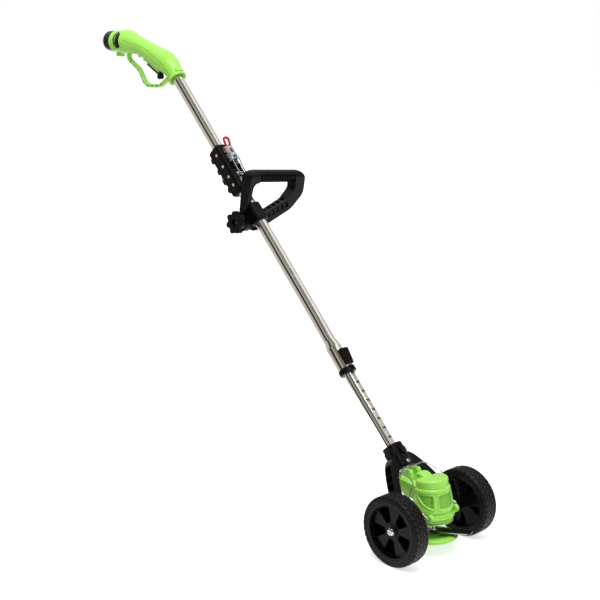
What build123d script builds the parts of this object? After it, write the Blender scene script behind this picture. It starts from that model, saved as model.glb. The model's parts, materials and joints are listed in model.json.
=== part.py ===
from build123d import *
from math import cos, radians, sin
import os

# Two-wheeled stick edger: a folding, telescoping pole with a pistol grip, a loop handle and a
# wheeled yoke that carries a tilting motor head with a horizontal blade.  Millimetres, +Z up,
# +Y forward (away from the user), +X to the user's right.  The origin is on the ground, below
# the middle of the machine's bounding box.
#
# Pole frame (x, n, s): s runs up the pole from the wheel axle, n is square to it on the top side.
# Head frame (x, y, h): h runs up the motor axis from the glide disc.
# Until the last step, x is measured from the machine's own middle plane.

# ---------------------------------------------------------------- driving dimensions
POLE_LIFT = 46.9            # pole angle above the ground, degrees
WHEEL_DIA = 133.5
WHEEL_WIDTH = 36.0
WHEEL_GAP = 165.3           # between the inner faces of the two wheels
TUBE_DIA = 25.0             # upper and middle tubes
TUBE_WALL = 1.0
INNER_TUBE_DIA = 22.0       # telescoping lower tube
INNER_TUBE_WALL = 1.2

# stations along the pole
NECK_FOOT = 104.0           # lower edge of the yoke's neck
NECK_TOP = 150.0
LOCK_LOW = 331.0            # lower end of the lock button
LOCK_LENGTH = 34.0
COLLAR_FOOT = 329.0         # lower end of the bright collar
COLLAR_TOP = 379.0          # where the collar starts to narrow
COLLAR_NECK = 396.0         # where it has narrowed to the tube
CLAMP_S = 719.0             # middle of the loop handle's clamp
FOLD_FOOT = 777.0
FOLD_S = 831.0              # where the two fold sleeves part
FOLD_TOP = 899.0
MOUTH_S = 1102.0            # front end of the grip
UPPER_TUBE_TOP = 1160.0

# running and assembly gaps
RUN = 0.05                  # radial clearance of a turning or sliding fit
SEAT = 0.1                  # radial clearance of an assembled, fixed fit
GAP = 0.3                   # between neighbouring faces of bodies that move

# ---------------------------------------------------------------- frames
WHEEL_R = WHEEL_DIA / 2
LIFT = radians(POLE_LIFT)
HEAD_LEAN = 5.5             # the motor axis leans back by this, degrees
HEAD_Y = 9.0                # where the motor axis crosses the disc, ahead of the axle
HEAD_Z = 27.0

POLE = Location(Plane(origin=(0, 0, WHEEL_R), x_dir=(1, 0, 0), z_dir=(0, -cos(LIFT), sin(LIFT))))
HEAD = Location(Plane(origin=(0, HEAD_Y, HEAD_Z), x_dir=(1, 0, 0),
                      z_dir=(0, -sin(radians(HEAD_LEAN)), cos(radians(HEAD_LEAN)))))


# ---------------------------------------------------------------- shape helpers
def box(x0, x1, y0, y1, z0, z1):
    """A box between opposite corners."""
    return Pos((x0 + x1) / 2, (y0 + y1) / 2, (z0 + z1) / 2) * Box(x1 - x0, y1 - y0, z1 - z0)


def rod_z(radius, z0, z1, x=0.0, y=0.0):
    """A cylinder along z."""
    return Pos(x, y, (z0 + z1) / 2) * Cylinder(radius, z1 - z0)


def rod_x(radius, x0, x1, y=0.0, z=0.0):
    """A cylinder along x."""
    return Pos((x0 + x1) / 2, y, z) * Rot(0, 90, 0) * Cylinder(radius, x1 - x0)


def rod_y(radius, y0, y1, x=0.0, z=0.0):
    """A cylinder along y."""
    return Pos(x, (y0 + y1) / 2, z) * Rot(90, 0, 0) * Cylinder(radius, y1 - y0)


def pipe(outer, inner, z0, z1):
    """A round tube along z."""
    return rod_z(outer, z0, z1) - rod_z(inner, z0 - 1, z1 + 1)


def side_plate(points, x0, x1):
    """A polygon drawn in the y-z plane and given thickness along x."""
    return extrude(Plane.YZ.offset(x0) * make_face(Polyline(*points, close=True)), x1 - x0)


def front_plate(face, y0, y1):
    """A face drawn in the x-z plane and given thickness along y."""
    return extrude(Plane.XZ.offset(-y1) * face, y1 - y0)


def spun(points):
    """A solid of revolution about z from (radius, height) points."""
    return revolve(Plane.XZ * make_face(Polyline(*points, close=True)), Axis.Z)


def halves(shape, reach=400.0):
    """The +x and -x halves of a moulding that is split down the middle."""
    cutter = box(0, reach, -2 * reach, 2 * reach, -reach, 6 * reach)
    return shape & cutter, shape & mirror(cutter, Plane.YZ)


def round_bar(path_points, radii, radius):
    """A round wire along straight runs joined by tangent arcs."""
    path = FilletPolyline(*path_points, radius=radii)
    start = Plane(origin=path @ 0, z_dir=path % 0)
    return sweep(start * Circle(radius), path)


def hex_bar(across_flats, x0, x1, y, z):
    """A solid hexagon whose axis lies along x."""
    return Pos(x0, y, z) * Rot(0, 90, 0) * extrude(RegularPolygon(across_flats / 2, 6, major_radius=False), x1 - x0)


# ---------------------------------------------------------------- pistol grip
BAY_ANGLE = 43.0            # the battery bay's axis against the pole, degrees
BAY_FRONT_N = -72.0         # front end of the bay
BAY_FRONT_S = 1284.0
BAY_DEPTH = 54.0
PACK_DIA = 40.0
BAY_DIA = PACK_DIA + 2 * GAP
PACK_CAP_DIA = PACK_DIA + 9.0
PACK_CAP_LENGTH = 33.0
PACK_INSERT = 46.0
BAY_FLOOR = BAY_DEPTH - PACK_INSERT - GAP
BLOCK_HALF = 9.0            # half the terminal block's side
BADGE_DEPTH = 1.2
GRIP_WALL = 2.8
MOUTH_DIA = TUBE_DIA + 13.0
MOUTH_BORE = TUBE_DIA + 4.0
SPLIT_SCREW = 1.6           # radius of the grip's self-tapping screws
GUARD_THICK = 7.5
GUARD_WIDTH = 11.0
TRIGGER_WIDTH = 10.0
TRIGGER_BOX_WIDTH = 17.0
TRIGGER_N = -42.0
TRIGGER_S = 1197.0
TRIGGER_PIN_DIA = 4.0
TRIGGER_SWING = 7.0         # full pull, degrees
PIN_HALF = TRIGGER_BOX_WIDTH / 2 - 1
BULKHEAD_S = UPPER_TUBE_TOP + 4
SWITCH_HALF = 6.0
SWITCH_N = -21.5
SWITCH_S = 1169.0
SWITCH_LENGTH = 22.0
SPRING_S = 1159.0
SPRING_FOOT_N = -23.6       # the spring stands on the trigger's inner edge

BAY = Pos(0, BAY_FRONT_N, BAY_FRONT_S) * Rot(BAY_ANGLE, 0, 0)


def half_oval(width, height, past):
    """The right half of an oval; past carries it over the split plane."""
    arc = EllipticalCenterArc((0, 0), width / 2, height / 2, start_angle=-90, arc_size=180)
    if past == 0:
        return make_face([arc, Line(arc @ 1, arc @ 0)])
    return make_face([arc, Polyline(arc @ 1, (-past, height / 2), (-past, -height / 2), arc @ 0)])


def grip_form(thinner=0.0, past=0.0):
    """The right half of the grip's form, from its mouth to the bay's rim, less a wall."""
    slim = 2 * thinner
    stations = [
        (0.0, MOUTH_S, MOUTH_DIA, MOUTH_DIA, 0),
        (0.0, MOUTH_S + 30, 43.5, 40, 0),
        (-5.0, MOUTH_S + 56, 49, 43, 18),
        (-21.0, MOUTH_S + 90, 44.5, 40, 25),
        (-41.0, MOUTH_S + 131, 40, 38, 31),
        (-54.0, MOUTH_S + 155, 42.5, 41, 38),
    ]
    rings = [Pos(0, n, s) * Rot(lean, 0, 0) * half_oval(width - slim, height - slim, past)
             for n, s, height, width, lean in stations]
    rings += [BAY * Pos(0, 0, depth) * half_oval(dia - slim, dia - slim, past)
              for depth, dia in ((0, 53.0), (BAY_DEPTH / 2, 53.5), (BAY_DEPTH, 50.5))]
    return loft(rings)


def finger_guard():
    """The bowed guard in front of the trigger, with its lightening pockets."""
    corners = [(0, -84, 1277), (0, -103, 1262), (0, -89, 1213), (0, -97, 1172), (0, -56, 1133), (0, -12, 1123)]
    path = FilletPolyline(*corners, radius=(11, 40, 34, 36))
    start = Plane(origin=path @ 0, x_dir=(1, 0, 0), z_dir=path % 0)
    bar = sweep(start * RectangleRounded(GUARD_WIDTH, GUARD_THICK, 2.4), path)
    pockets = []
    for step in range(9):
        spot = path @ (0.17 + 0.082 * step)
        along = path % (0.17 + 0.082 * step)
        place = Plane(origin=(GUARD_WIDTH / 2 - 2.5, spot.Y, spot.Z), x_dir=along, z_dir=(1, 0, 0))
        pockets.append(extrude(place * SlotOverall(5.2, 3.4), 4))
    pockets += [mirror(pocket, Plane.YZ) for pocket in pockets]
    return bar - pockets


def trigger_box():
    """The moulded box under the grip that the trigger sinks into."""
    outline = [(-52, 1206), (-35, 1154), (-12, 1162), (-26, 1214)]
    shape = side_plate(outline, -TRIGGER_BOX_WIDTH / 2, TRIGGER_BOX_WIDTH / 2)
    return fillet(shape.edges().filter_by(Axis.X), 2)


def trigger_slot():
    outline = [(-60, 1203), (-41, 1146), (-20, 1154), (-33, 1204)]
    half = TRIGGER_WIDTH / 2 + GAP
    return side_plate(outline, -half, half)


def screw_posts():
    """Where the grip's five screws join its halves, as (n, s)."""
    beside_tube = TUBE_DIA / 2 + SPLIT_SCREW + 1.5
    return [(-beside_tube, MOUTH_S + 12), (beside_tube, MOUTH_S + 44), (-beside_tube - 3.4, MOUTH_S + 44),
            (-27.0, MOUTH_S + 115), (-62.0, MOUTH_S + 162)]


def badge_prism():
    """The outline of the blank inlay beside the bay's rim, carried out through the right side."""
    return BAY * Pos(0, 0, BAY_DEPTH - 17) * Rot(0, 90, 0) * Rot(0, 0, 90) * extrude(SlotOverall(38.2, 13.1), 40)


def finger_ridges():
    """The low ridges that part the fingers, under the grip behind the trigger."""
    spots = [(-61.5, 1232.0), (-53.5, 1213.0)]
    return [rod_x(4.2, -7, 7, n, s) for n, s in spots]


def grip_skin(depth):
    """The outer layer of the grip's right side."""
    zone = BAY * box(8, 60, -24, 24, BAY_DEPTH - 30, BAY_DEPTH - 5)
    return (grip_form() & zone) - grip_form(depth, 1.0)


def switch_ribs():
    """The two ribs that hold the trigger's switch, one in each half."""
    rib = box(SWITCH_HALF + SEAT, 25, SWITCH_N, SWITCH_N + 9, SWITCH_S + 3, SWITCH_S + SWITCH_LENGTH - 3)
    return rib & grip_form(GRIP_WALL / 2)


def grip_half():
    """The right half of the grip moulding, before its screws and badge."""
    form = grip_form()
    right = box(0, 100, -200, 100, MOUTH_S - 10, MOUTH_S + 300)
    lug = BAY * box(-6, 6, -33.5, -22, BAY_DEPTH - 22, BAY_DEPTH - 6)
    ridge = rod_z(22.0, MOUTH_S + 6, MOUTH_S + 14) & box(-9, 9, 10, 40, MOUTH_S, MOUTH_S + 20)
    lip = rod_z(MOUTH_DIA / 2 + 1.5, MOUTH_S, MOUTH_S + 5)
    extras = finger_guard() + trigger_box() + lug + ridge + lip + finger_ridges()
    solid = form + (extras & right)
    tunnel = grip_form(GRIP_WALL, 1.0) & box(-60, 60, -80, 60, MOUTH_S + 52, BAY_FRONT_S - 8)
    solid -= tunnel - rod_z(TUBE_DIA / 2 + 3.5, MOUTH_S + 20, BULKHEAD_S)
    solid -= BAY * rod_z(BAY_DIA / 2, BAY_FLOOR, BAY_DEPTH + 5)
    solid -= BAY * box(-BLOCK_HALF - SEAT, BLOCK_HALF + SEAT, -BLOCK_HALF - SEAT, BLOCK_HALF + SEAT, -12, BAY_FLOOR)
    solid -= rod_z(TUBE_DIA / 2 + SEAT, MOUTH_S - 5, UPPER_TUBE_TOP)
    solid -= rod_z(MOUTH_BORE / 2, MOUTH_S - 5, MOUTH_S + 7)
    solid -= trigger_slot()
    solid -= rod_x(TRIGGER_PIN_DIA / 2, -PIN_HALF, PIN_HALF, TRIGGER_N, TRIGGER_S)
    for n, s in screw_posts()[3:]:
        solid += (rod_x(3.6, 0, 30, n, s) & grip_form(GRIP_WALL / 2)) - trigger_slot()
    return solid + switch_ribs()


def grip_nodes():
    """The two shells, the badge and the screws that hold the shells together."""
    half = grip_half()
    bores = [rod_x(SPLIT_SCREW, -40, 9, n, s) for n, s in screw_posts()]
    heads = [rod_x(3.2, -40, -10, n, s) for n, s in screw_posts()]
    right = half - bores - (badge_prism() & grip_skin(BADGE_DEPTH + SEAT))
    left = mirror(half, Plane.YZ) - bores - heads
    badge = badge_prism() & grip_skin(BADGE_DEPTH)
    screws = [rod_x(SPLIT_SCREW, -12, 8.8, n, s) + rod_x(3.0, -12.5, -10, n, s) for n, s in screw_posts()]
    return {"grip_shell_right": right, "grip_shell_left": left, "grip_badge": badge,
            "grip_screws": Compound(children=screws)}


def contact_block():
    """The terminal block at the bay's inner end, with the two blades the pack slides onto."""
    block = box(-BLOCK_HALF, BLOCK_HALF, -BLOCK_HALF, BLOCK_HALF, BAY_FLOOR - 8, BAY_FLOOR - SEAT)
    blades = [box(x - 0.6, x + 0.6, -3, 3, BAY_FLOOR - 1, BAY_FLOOR + 6) for x in (-5, 5)]
    return BAY * (block + blades)


def battery_pack():
    """A stick pack: the part inside the bay and the rounded end that stands out of it."""
    cap = rod_z(PACK_CAP_DIA / 2, BAY_DEPTH + GAP, BAY_DEPTH + PACK_CAP_LENGTH)
    cap = fillet(cap.edges().sort_by(Axis.Z)[-1], 13)
    cap = cap & Pos(0, 0, BAY_DEPTH) * Cone(PACK_CAP_DIA / 2, PACK_CAP_DIA / 2 - 3, PACK_CAP_LENGTH + 20,
                                            align=(Align.CENTER, Align.CENTER, Align.MIN))
    stick = rod_z(PACK_DIA / 2, BAY_DEPTH - PACK_INSERT, BAY_DEPTH + 1)
    stick = chamfer(stick.edges().sort_by(Axis.Z)[0], 1.5)
    sockets = [box(x - 1.2, x + 1.2, -4, 4, 0, BAY_FLOOR + 8) for x in (-5, 5)]
    return BAY * (cap + stick - sockets)


def trigger():
    """The long trigger bar with its finger hook; it swings on a pin at its rear end."""
    bar = side_plate([(-46, 1203), (-57, 1199.5), (-40.5, 1149), (-24, 1156), (-36, 1190), (-38, 1201)],
                     -TRIGGER_WIDTH / 2, TRIGGER_WIDTH / 2)
    hook = rod_x(6.2, -TRIGGER_WIDTH / 2, TRIGGER_WIDTH / 2, -42.5, 1149.5)
    body = bar + hook
    relief = side_plate([(-36, 1202), (-31, 1187), (-22, 1153), (-20, 1205)], -20, 20)
    body -= relief
    return body - rod_x(TRIGGER_PIN_DIA / 2 + RUN, -20, 20, TRIGGER_N, TRIGGER_S)


def trigger_pin():
    return rod_x(TRIGGER_PIN_DIA / 2, -PIN_HALF, PIN_HALF, TRIGGER_N, TRIGGER_S)


def trigger_spring():
    """The return spring behind the trigger, as a plain sleeve of the coil's size."""
    coil = rod_y(2.6, SPRING_FOOT_N, -16.2, 0, SPRING_S) - rod_y(1.8, SPRING_FOOT_N - 1, -15, 0, SPRING_S)
    return coil


def trigger_switch():
    """A microswitch that the trigger's tail pushes."""
    return box(-SWITCH_HALF, SWITCH_HALF, SWITCH_N, SWITCH_N + 10, SWITCH_S, SWITCH_S + SWITCH_LENGTH)


# ---------------------------------------------------------------- tubes
def upper_tube():
    tube = pipe(TUBE_DIA / 2, TUBE_DIA / 2 - TUBE_WALL, FOLD_S + 3, UPPER_TUBE_TOP)
    for s in SLEEVE_SCREWS_UPPER:
        tube -= rod_x(SLEEVE_SCREW, -20, 20, SLEEVE_SCREW_N, s)
    return tube


# ---------------------------------------------------------------- fold joint
SLEEVE_WIDTH = TUBE_DIA + 15.0
SLEEVE_DEPTH = TUBE_DIA + 13.0
SLEEVE_SCREW = 2.0
SLEEVE_SCREW_N = 3.0
SLEEVE_SCREWS_UPPER = (FOLD_S + 16.0, FOLD_S + 46.5)
SLEEVE_SCREWS_LOWER = (FOLD_S - 33.5, FOLD_S - 11.5)
HINGE_N = -SLEEVE_DEPTH / 2 - 3.0
SLEEVE_BOSS_R = 8.0         # the round bosses under the sleeves, at their screws
HINGE_KNUCKLE = 7.0
HINGE_PIN_DIA = 5.0
KNUCKLE_SPLIT = 5.0
KNUCKLE_REACH = 10.5
NUT_FLATS = 7.0
PIN_HEAD_R = 4.0
FOLD_GAP = 0.3


def sleeve_blank(foot, top, screws):
    """The outer form of one sleeve: a rounded bar with side grooves and a boss under each screw."""
    section = RectangleRounded(SLEEVE_WIDTH, SLEEVE_DEPTH, 9)
    blank = extrude(Plane.XY.offset(foot) * section, top - foot)
    groove = Pos(SLEEVE_WIDTH / 2, 0, (foot + top) / 2) * Box(2.4, 2.4, top - foot - 16)
    for n in (-9.5, 12.5):
        blank -= Pos(0, n, 0) * groove
        blank -= mirror(Pos(0, n, 0) * groove, Plane.YZ)
    half = SLEEVE_WIDTH / 2 - 2
    for s in screws:
        blank += rod_x(SLEEVE_BOSS_R, -half, half, -SLEEVE_DEPTH / 2 + SLEEVE_BOSS_R - 2.6, s)
    return blank


def knuckle(x0, x1, direction):
    """One hinge knuckle with the web that ties it to its sleeve."""
    web = side_plate([(HINGE_N - 6.2, FOLD_S + direction * 3), (-14, FOLD_S + direction * 24),
                      (-10, FOLD_S + direction * 24), (-10, FOLD_S + direction * FOLD_GAP),
                      (HINGE_N, FOLD_S + direction * FOLD_GAP)], x0, x1)
    return rod_x(HINGE_KNUCKLE, x0, x1, HINGE_N, FOLD_S) + web


def sleeve(upper):
    """One fold sleeve; the upper one has the outer knuckles, the lower one the inner ones."""
    if upper:
        foot, top, direction, end = FOLD_S + FOLD_GAP, FOLD_TOP, 1, FOLD_TOP
        screws = SLEEVE_SCREWS_UPPER
    else:
        foot, top, direction, end = FOLD_FOOT, FOLD_S - FOLD_GAP, -1, FOLD_FOOT
        screws = SLEEVE_SCREWS_LOWER
    body = sleeve_blank(foot, top, screws)
    rim = body.faces().sort_by(Axis.Z)[-1 if upper else 0]
    body = chamfer(rim.edges(), 5)
    inner_clear = KNUCKLE_SPLIT + GAP / 2
    outer_clear = KNUCKLE_SPLIT - GAP / 2
    clearance = HINGE_KNUCKLE + 0.4
    if upper:
        body += knuckle(inner_clear, KNUCKLE_REACH, 1) + knuckle(-KNUCKLE_REACH, -inner_clear, 1)
        body -= rod_x(clearance, -inner_clear, inner_clear, HINGE_N, FOLD_S)
        hood = side_plate([(15, foot), (24, foot), (25, foot + 5), (22, foot + 10), (15, foot + 22)], -10, 10)
        body += hood
    else:
        body -= rod_x(clearance, -KNUCKLE_REACH - GAP, KNUCKLE_REACH + GAP, HINGE_N, FOLD_S)
        body += knuckle(-outer_clear, outer_clear, -1)
    body -= rod_z(TUBE_DIA / 2 + SEAT, FOLD_FOOT - 5, FOLD_TOP + 5)
    bore = HINGE_PIN_DIA / 2 + (SEAT / 2 if upper else RUN)
    body -= rod_x(bore, -30, 30, HINGE_N, FOLD_S)
    for side in (-1, 1):
        reach = sorted((side * KNUCKLE_REACH, side * 40))
        body -= rod_x(PIN_HEAD_R + GAP, *reach, HINGE_N, FOLD_S)
    for s in screws:
        body -= rod_x(SLEEVE_SCREW, -30, 30, SLEEVE_SCREW_N, s)
        body -= rod_x(4.4, SLEEVE_WIDTH / 2 - 3, 30, SLEEVE_SCREW_N, s)
        body -= hex_bar(NUT_FLATS + 0.4, -SLEEVE_WIDTH / 2 - 1, -SLEEVE_WIDTH / 2 + 3, SLEEVE_SCREW_N, s)
    return body


def sleeve_screws(stations):
    """Through screws with their heads on the right and nuts on the left."""
    set_of = []
    for s in stations:
        shank = rod_x(SLEEVE_SCREW, -SLEEVE_WIDTH / 2 + 0.5, SLEEVE_WIDTH / 2 - 3, SLEEVE_SCREW_N, s)
        head = rod_x(3.8, SLEEVE_WIDTH / 2 - 3, SLEEVE_WIDTH / 2 - 0.6, SLEEVE_SCREW_N, s)
        head = chamfer(head.edges().sort_by(Axis.X)[-1], 0.7)
        slot = Pos(SLEEVE_WIDTH / 2 - 0.7, SLEEVE_SCREW_N, s) * Box(1.4, 4.8, 1.0)
        nut = hex_bar(NUT_FLATS, -SLEEVE_WIDTH / 2 + 0.2, -SLEEVE_WIDTH / 2 + 2.8, SLEEVE_SCREW_N, s)
        set_of.append((shank + head + nut) - slot)
    return Compound(children=set_of)


def fold_pin():
    """The hinge pin, with a domed head on the right."""
    pin = rod_x(HINGE_PIN_DIA / 2, -KNUCKLE_REACH - 1.5, KNUCKLE_REACH, HINGE_N, FOLD_S)
    head = rod_x(PIN_HEAD_R, KNUCKLE_REACH, KNUCKLE_REACH + 2.2, HINGE_N, FOLD_S)
    return pin + fillet(head.edges().sort_by(Axis.X)[-1], 1.2)


# ---------------------------------------------------------------- draw latch
DECK_N = SLEEVE_DEPTH / 2   # the sleeves' flat top side
PLATE = 1.5                 # latch sheet thickness
PIVOT_N = DECK_N + 8.0
PIVOT_S = FOLD_S + 19.0
PIVOT_DIA = 3.0
BAIL_N = DECK_N + 10.5               # where the bail hooks into the lever
BAIL_S = FOLD_S + 33.0
BAIL_WIRE = 1.3             # wire radius
BAIL_HALF = 9.9
BAIL_END_N = DECK_N + 9.0
BAIL_END_S = FOLD_S - 25.0
EAR_OUT = 6.2
LEVER_IN = 6.6
LEVER_OUT = 8.1
HORN_S = BAIL_END_S + BAIL_WIRE + 1.0


def latch_base():
    """The riveted base plate and the two ears that hold the lever's pin."""
    plate = box(-9, 9, DECK_N + SEAT, DECK_N + PLATE, PIVOT_S - 3, PIVOT_S + 37)
    ears = []
    for side in (-1, 1):
        x0, x1 = sorted((side * (EAR_OUT - PLATE), side * EAR_OUT))
        ear = side_plate([(DECK_N + 0.5, PIVOT_S - 3), (PIVOT_N + 1, PIVOT_S - 3), (PIVOT_N + 3, PIVOT_S),
                          (PIVOT_N + 1, PIVOT_S + 3), (DECK_N + 0.5, PIVOT_S + 11)], x0, x1)
        ears.append(ear)
    rivets = [rod_y(2.4, DECK_N + PLATE, DECK_N + PLATE + 1, 0, PIVOT_S + d) for d in (16, 31)]
    body = plate + ears + rivets
    return body - rod_x(PIVOT_DIA / 2 + SEAT / 2, -20, 20, PIVOT_N, PIVOT_S)


def latch_pin():
    return rod_x(PIVOT_DIA / 2, -LEVER_OUT - 0.6, LEVER_OUT + 0.6, PIVOT_N, PIVOT_S)


def latch_lever():
    """The channel-shaped throw lever."""
    outline = [(PIVOT_N - 3.5, PIVOT_S - 1), (PIVOT_N, PIVOT_S - 4.4), (PIVOT_N + 3, PIVOT_S - 2),
               (PIVOT_N + 5.5, PIVOT_S + 4), (PIVOT_N + 5.5, PIVOT_S + 30), (PIVOT_N - 1.5, PIVOT_S + 30),
               (PIVOT_N - 3.5, PIVOT_S + 8)]
    wall = side_plate(outline, -LEVER_OUT, LEVER_OUT)
    inside = box(-LEVER_IN, LEVER_IN, 0, PIVOT_N + 5.5 - PLATE, PIVOT_S - 10, PIVOT_S + 40)
    front = box(-LEVER_IN, LEVER_IN, 0, PIVOT_N + 10, PIVOT_S - 10, PIVOT_S + 5)
    window = box(-3.5, 3.5, PIVOT_N, PIVOT_N + 10, PIVOT_S + 12, PIVOT_S + 24)
    body = wall - inside - front - window
    body -= rod_x(PIVOT_DIA / 2 + RUN, -20, 20, PIVOT_N, PIVOT_S)
    return body - rod_x(BAIL_WIRE + RUN, -20, 20, BAIL_N, BAIL_S)


def latch_grip():
    """The dipped wire loop that the fingers pull."""
    foot = (PIVOT_N + 1.2, PIVOT_S + 24)
    points = [(-4.6, foot[0], foot[1]), (-4.6, foot[0], foot[1] + 6), (-6.2, foot[0] + 1.5, foot[1] + 12),
              (-5.6, PIVOT_N + 9, PIVOT_S + 53), (5.6, PIVOT_N + 9, PIVOT_S + 53),
              (6.2, foot[0] + 1.5, foot[1] + 12), (4.6, foot[0], foot[1] + 6), (4.6, foot[0], foot[1])]
    return round_bar(points, (3, 3, 5.4, 5.4, 3, 3), 1.9)


def latch_bail():
    """The wire bail that hooks the catch."""
    inner = LEVER_IN - 1.0
    points = [(-inner, BAIL_N, BAIL_S), (-BAIL_HALF, BAIL_N, BAIL_S), (-BAIL_HALF, BAIL_END_N, BAIL_END_S),
              (BAIL_HALF, BAIL_END_N, BAIL_END_S), (BAIL_HALF, BAIL_N, BAIL_S), (inner, BAIL_N, BAIL_S)]
    return round_bar(points, (1.6, 3.5, 3.5, 1.6), BAIL_WIRE)


def latch_catch():
    """The riveted catch plate; the bail's end lies below its horn."""
    plate = box(-9, 9, DECK_N + SEAT, DECK_N + PLATE, BAIL_END_S - 12, BAIL_END_S + 12)
    horn = side_plate([(DECK_N + 0.5, HORN_S), (BAIL_END_N + 0.2, HORN_S), (BAIL_END_N + 0.9, HORN_S + 0.8),
                       (BAIL_END_N, HORN_S + 2.4), (DECK_N + 0.5, HORN_S + 7)], -6.5, 6.5)
    rivets = [rod_y(2.2, DECK_N + PLATE, DECK_N + PLATE + 1, x, BAIL_END_S - 7) for x in (-5, 5)]
    return plate + horn + rivets


# ---------------------------------------------------------------- middle tube, collar and lock
COLLAR_R = TUBE_DIA / 2 + 3.5
COLLAR_WALL = 1.2
BUSH_R = COLLAR_R - COLLAR_WALL - SEAT
RING_R = COLLAR_R + 2.0
RING_FOOT = COLLAR_FOOT - 12.0
LOCK_HALF = 9.5
LOCK_TRAVEL = 6.0
WINDOW_HALF = 4.5
SPRING_N = COLLAR_R - COLLAR_WALL - 1.4     # middle of the lock spring


def mid_tube():
    """The middle tube, swaged out into the collar that houses the telescope lock."""
    r_out, r_in = TUBE_DIA / 2, TUBE_DIA / 2 - TUBE_WALL
    outer = spun([(0, COLLAR_FOOT), (COLLAR_R, COLLAR_FOOT), (COLLAR_R, COLLAR_TOP), (r_out, COLLAR_NECK),
                  (r_out, FOLD_S - 3), (0, FOLD_S - 3)])
    inner = spun([(0, COLLAR_FOOT - 1), (COLLAR_R - COLLAR_WALL, COLLAR_FOOT - 1),
                  (COLLAR_R - COLLAR_WALL, COLLAR_TOP), (r_in, COLLAR_NECK), (r_in, FOLD_S), (0, FOLD_S)])
    tube = outer - inner
    tube -= box(-WINDOW_HALF, WINDOW_HALF, 5, 30, LOCK_LOW + 4, LOCK_LOW + LOCK_LENGTH)
    for s in SLEEVE_SCREWS_LOWER:
        tube -= rod_x(SLEEVE_SCREW, -20, 20, SLEEVE_SCREW_N, s)
    return tube


def collar_bush():
    """The moulded end ring of the collar and the bush inside it that guides the lower tube."""
    bush = rod_z(BUSH_R, RING_FOOT, COLLAR_TOP - 5)
    ring = rod_z(RING_R, RING_FOOT, COLLAR_FOOT - SEAT)
    ring = chamfer(ring.edges(), 1.5)
    body = bush + ring - rod_z(INNER_TUBE_DIA / 2 + RUN, RING_FOOT - 1, COLLAR_TOP + 1)
    body -= box(-WINDOW_HALF, WINDOW_HALF, 0, 30, LOCK_LOW + 4, LOCK_LOW + LOCK_LENGTH)
    return body - box(-1.5, 1.5, 13, 30, RING_FOOT - 1, COLLAR_FOOT - 3)


def lock_button():
    """The wedge-shaped thumb slide and the tongue that reaches through the collar's window."""
    foot, top = LOCK_LOW, LOCK_LOW + LOCK_LENGTH
    profile = [(10, foot), (COLLAR_R + 3.5, foot), (COLLAR_R + 9, top - 4), (COLLAR_R + 7.5, top), (10, top)]
    pad = side_plate(profile, -LOCK_HALF, LOCK_HALF)
    pad = chamfer(pad.edges().filter_by(GeomType.LINE).group_by(SortBy.LENGTH)[-1].sort_by(Axis.Y)[-2:], 2.0)
    pad -= rod_z(COLLAR_R + GAP / 2, foot - 1, top + 1)
    tongue = box(-WINDOW_HALF + GAP, WINDOW_HALF - GAP, FLAT_N + GAP, COLLAR_R + 3, foot + 7, foot + 20)
    return pad + tongue


def lock_spring():
    """The spring that pushes the thumb slide down, as a plain sleeve of the coil's size."""
    low, high = LOCK_LOW + 20.2, LOCK_LOW + LOCK_LENGTH - 0.2
    coil = rod_z(1.6, low, high) - rod_z(0.9, low - 1, high + 1)
    return Pos(0, SPRING_N, 0) * coil


# ---------------------------------------------------------------- loop handle
LOOP_TURN = 5.0             # the clamp is turned this far about the tube, degrees
LOOP_TILT = 40.0            # the loop leans from square towards the grip, degrees
BOLT_DIA = 6.0
CLAMP_LENGTH = 43.0
CLAMP_R = TUBE_DIA / 2 + 5.5
BOLT_N = -CLAMP_R - 9.0     # the clamp bolt passes below the tube
LUG_HALF = 10.0
CLAMP_FLAT = TUBE_DIA / 2 + 2.8     # the ring is flat where the loop's leg passes it
BOSS_R = 19.0
BOSS_THICK = 15.5
KNOB_BACK = LUG_HALF + GAP + BOSS_THICK + 2.0
KNOB_THICK = 17.0
KNOB_R = 24.5
GRIP_Q = 99.0               # the loop's grip bar stands this far from the bolt
GRIP_THICK = 27.0
GRIP_DEPTH = 30.0
GRIP_END = -121.0
LEG_SOFT = 5.0              # rounding along the legs' edges
FLUTES = 14
FLUTE_PITCH = 7.8
FLUTE_WIDTH = 4.4
FLUTE_DEEP = 3.0
FLUTE_FIRST = -6.0
FLUTE_TURN = -20.0          # the flutes wrap the bar's underside and come up on its front, degrees

CLAMP = Pos(0, 0, CLAMP_S) * Rot(0, 0, LOOP_TURN)
LOOP = CLAMP * Pos(0, BOLT_N, 0) * Rot(LOOP_TILT, 0, 0)


def handle_clamp():
    """The collar that grips the tube, with the lug for the bolt."""
    ring = rod_z(CLAMP_R, -CLAMP_LENGTH / 2, CLAMP_LENGTH / 2)
    ring = fillet(ring.edges(), 3)
    lug = rod_x(11.5, -LUG_HALF, LUG_HALF, BOLT_N) + box(-LUG_HALF, LUG_HALF, BOLT_N, 0, -11.5, 11.5)
    ring = ring & box(-CLAMP_FLAT, CLAMP_FLAT, -30, 30, -30, 30)
    for side in (-1, 1):
        reach = sorted((side * LUG_HALF, side * 30))
        ring -= rod_x(BOSS_R + GAP, *reach, BOLT_N)
    body = ring + lug - rod_z(TUBE_DIA / 2 + GAP, -40, 40)
    body -= box(-1, 1, BOLT_N - 20, 0, -40, 40)
    body -= rod_x(BOLT_DIA / 2 + RUN, -20, 20, BOLT_N)
    return CLAMP * body


def loop_outline(points, radii):
    wire = FilletPolyline(*points, radius=radii, close=True)
    return make_face(wire)


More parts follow.
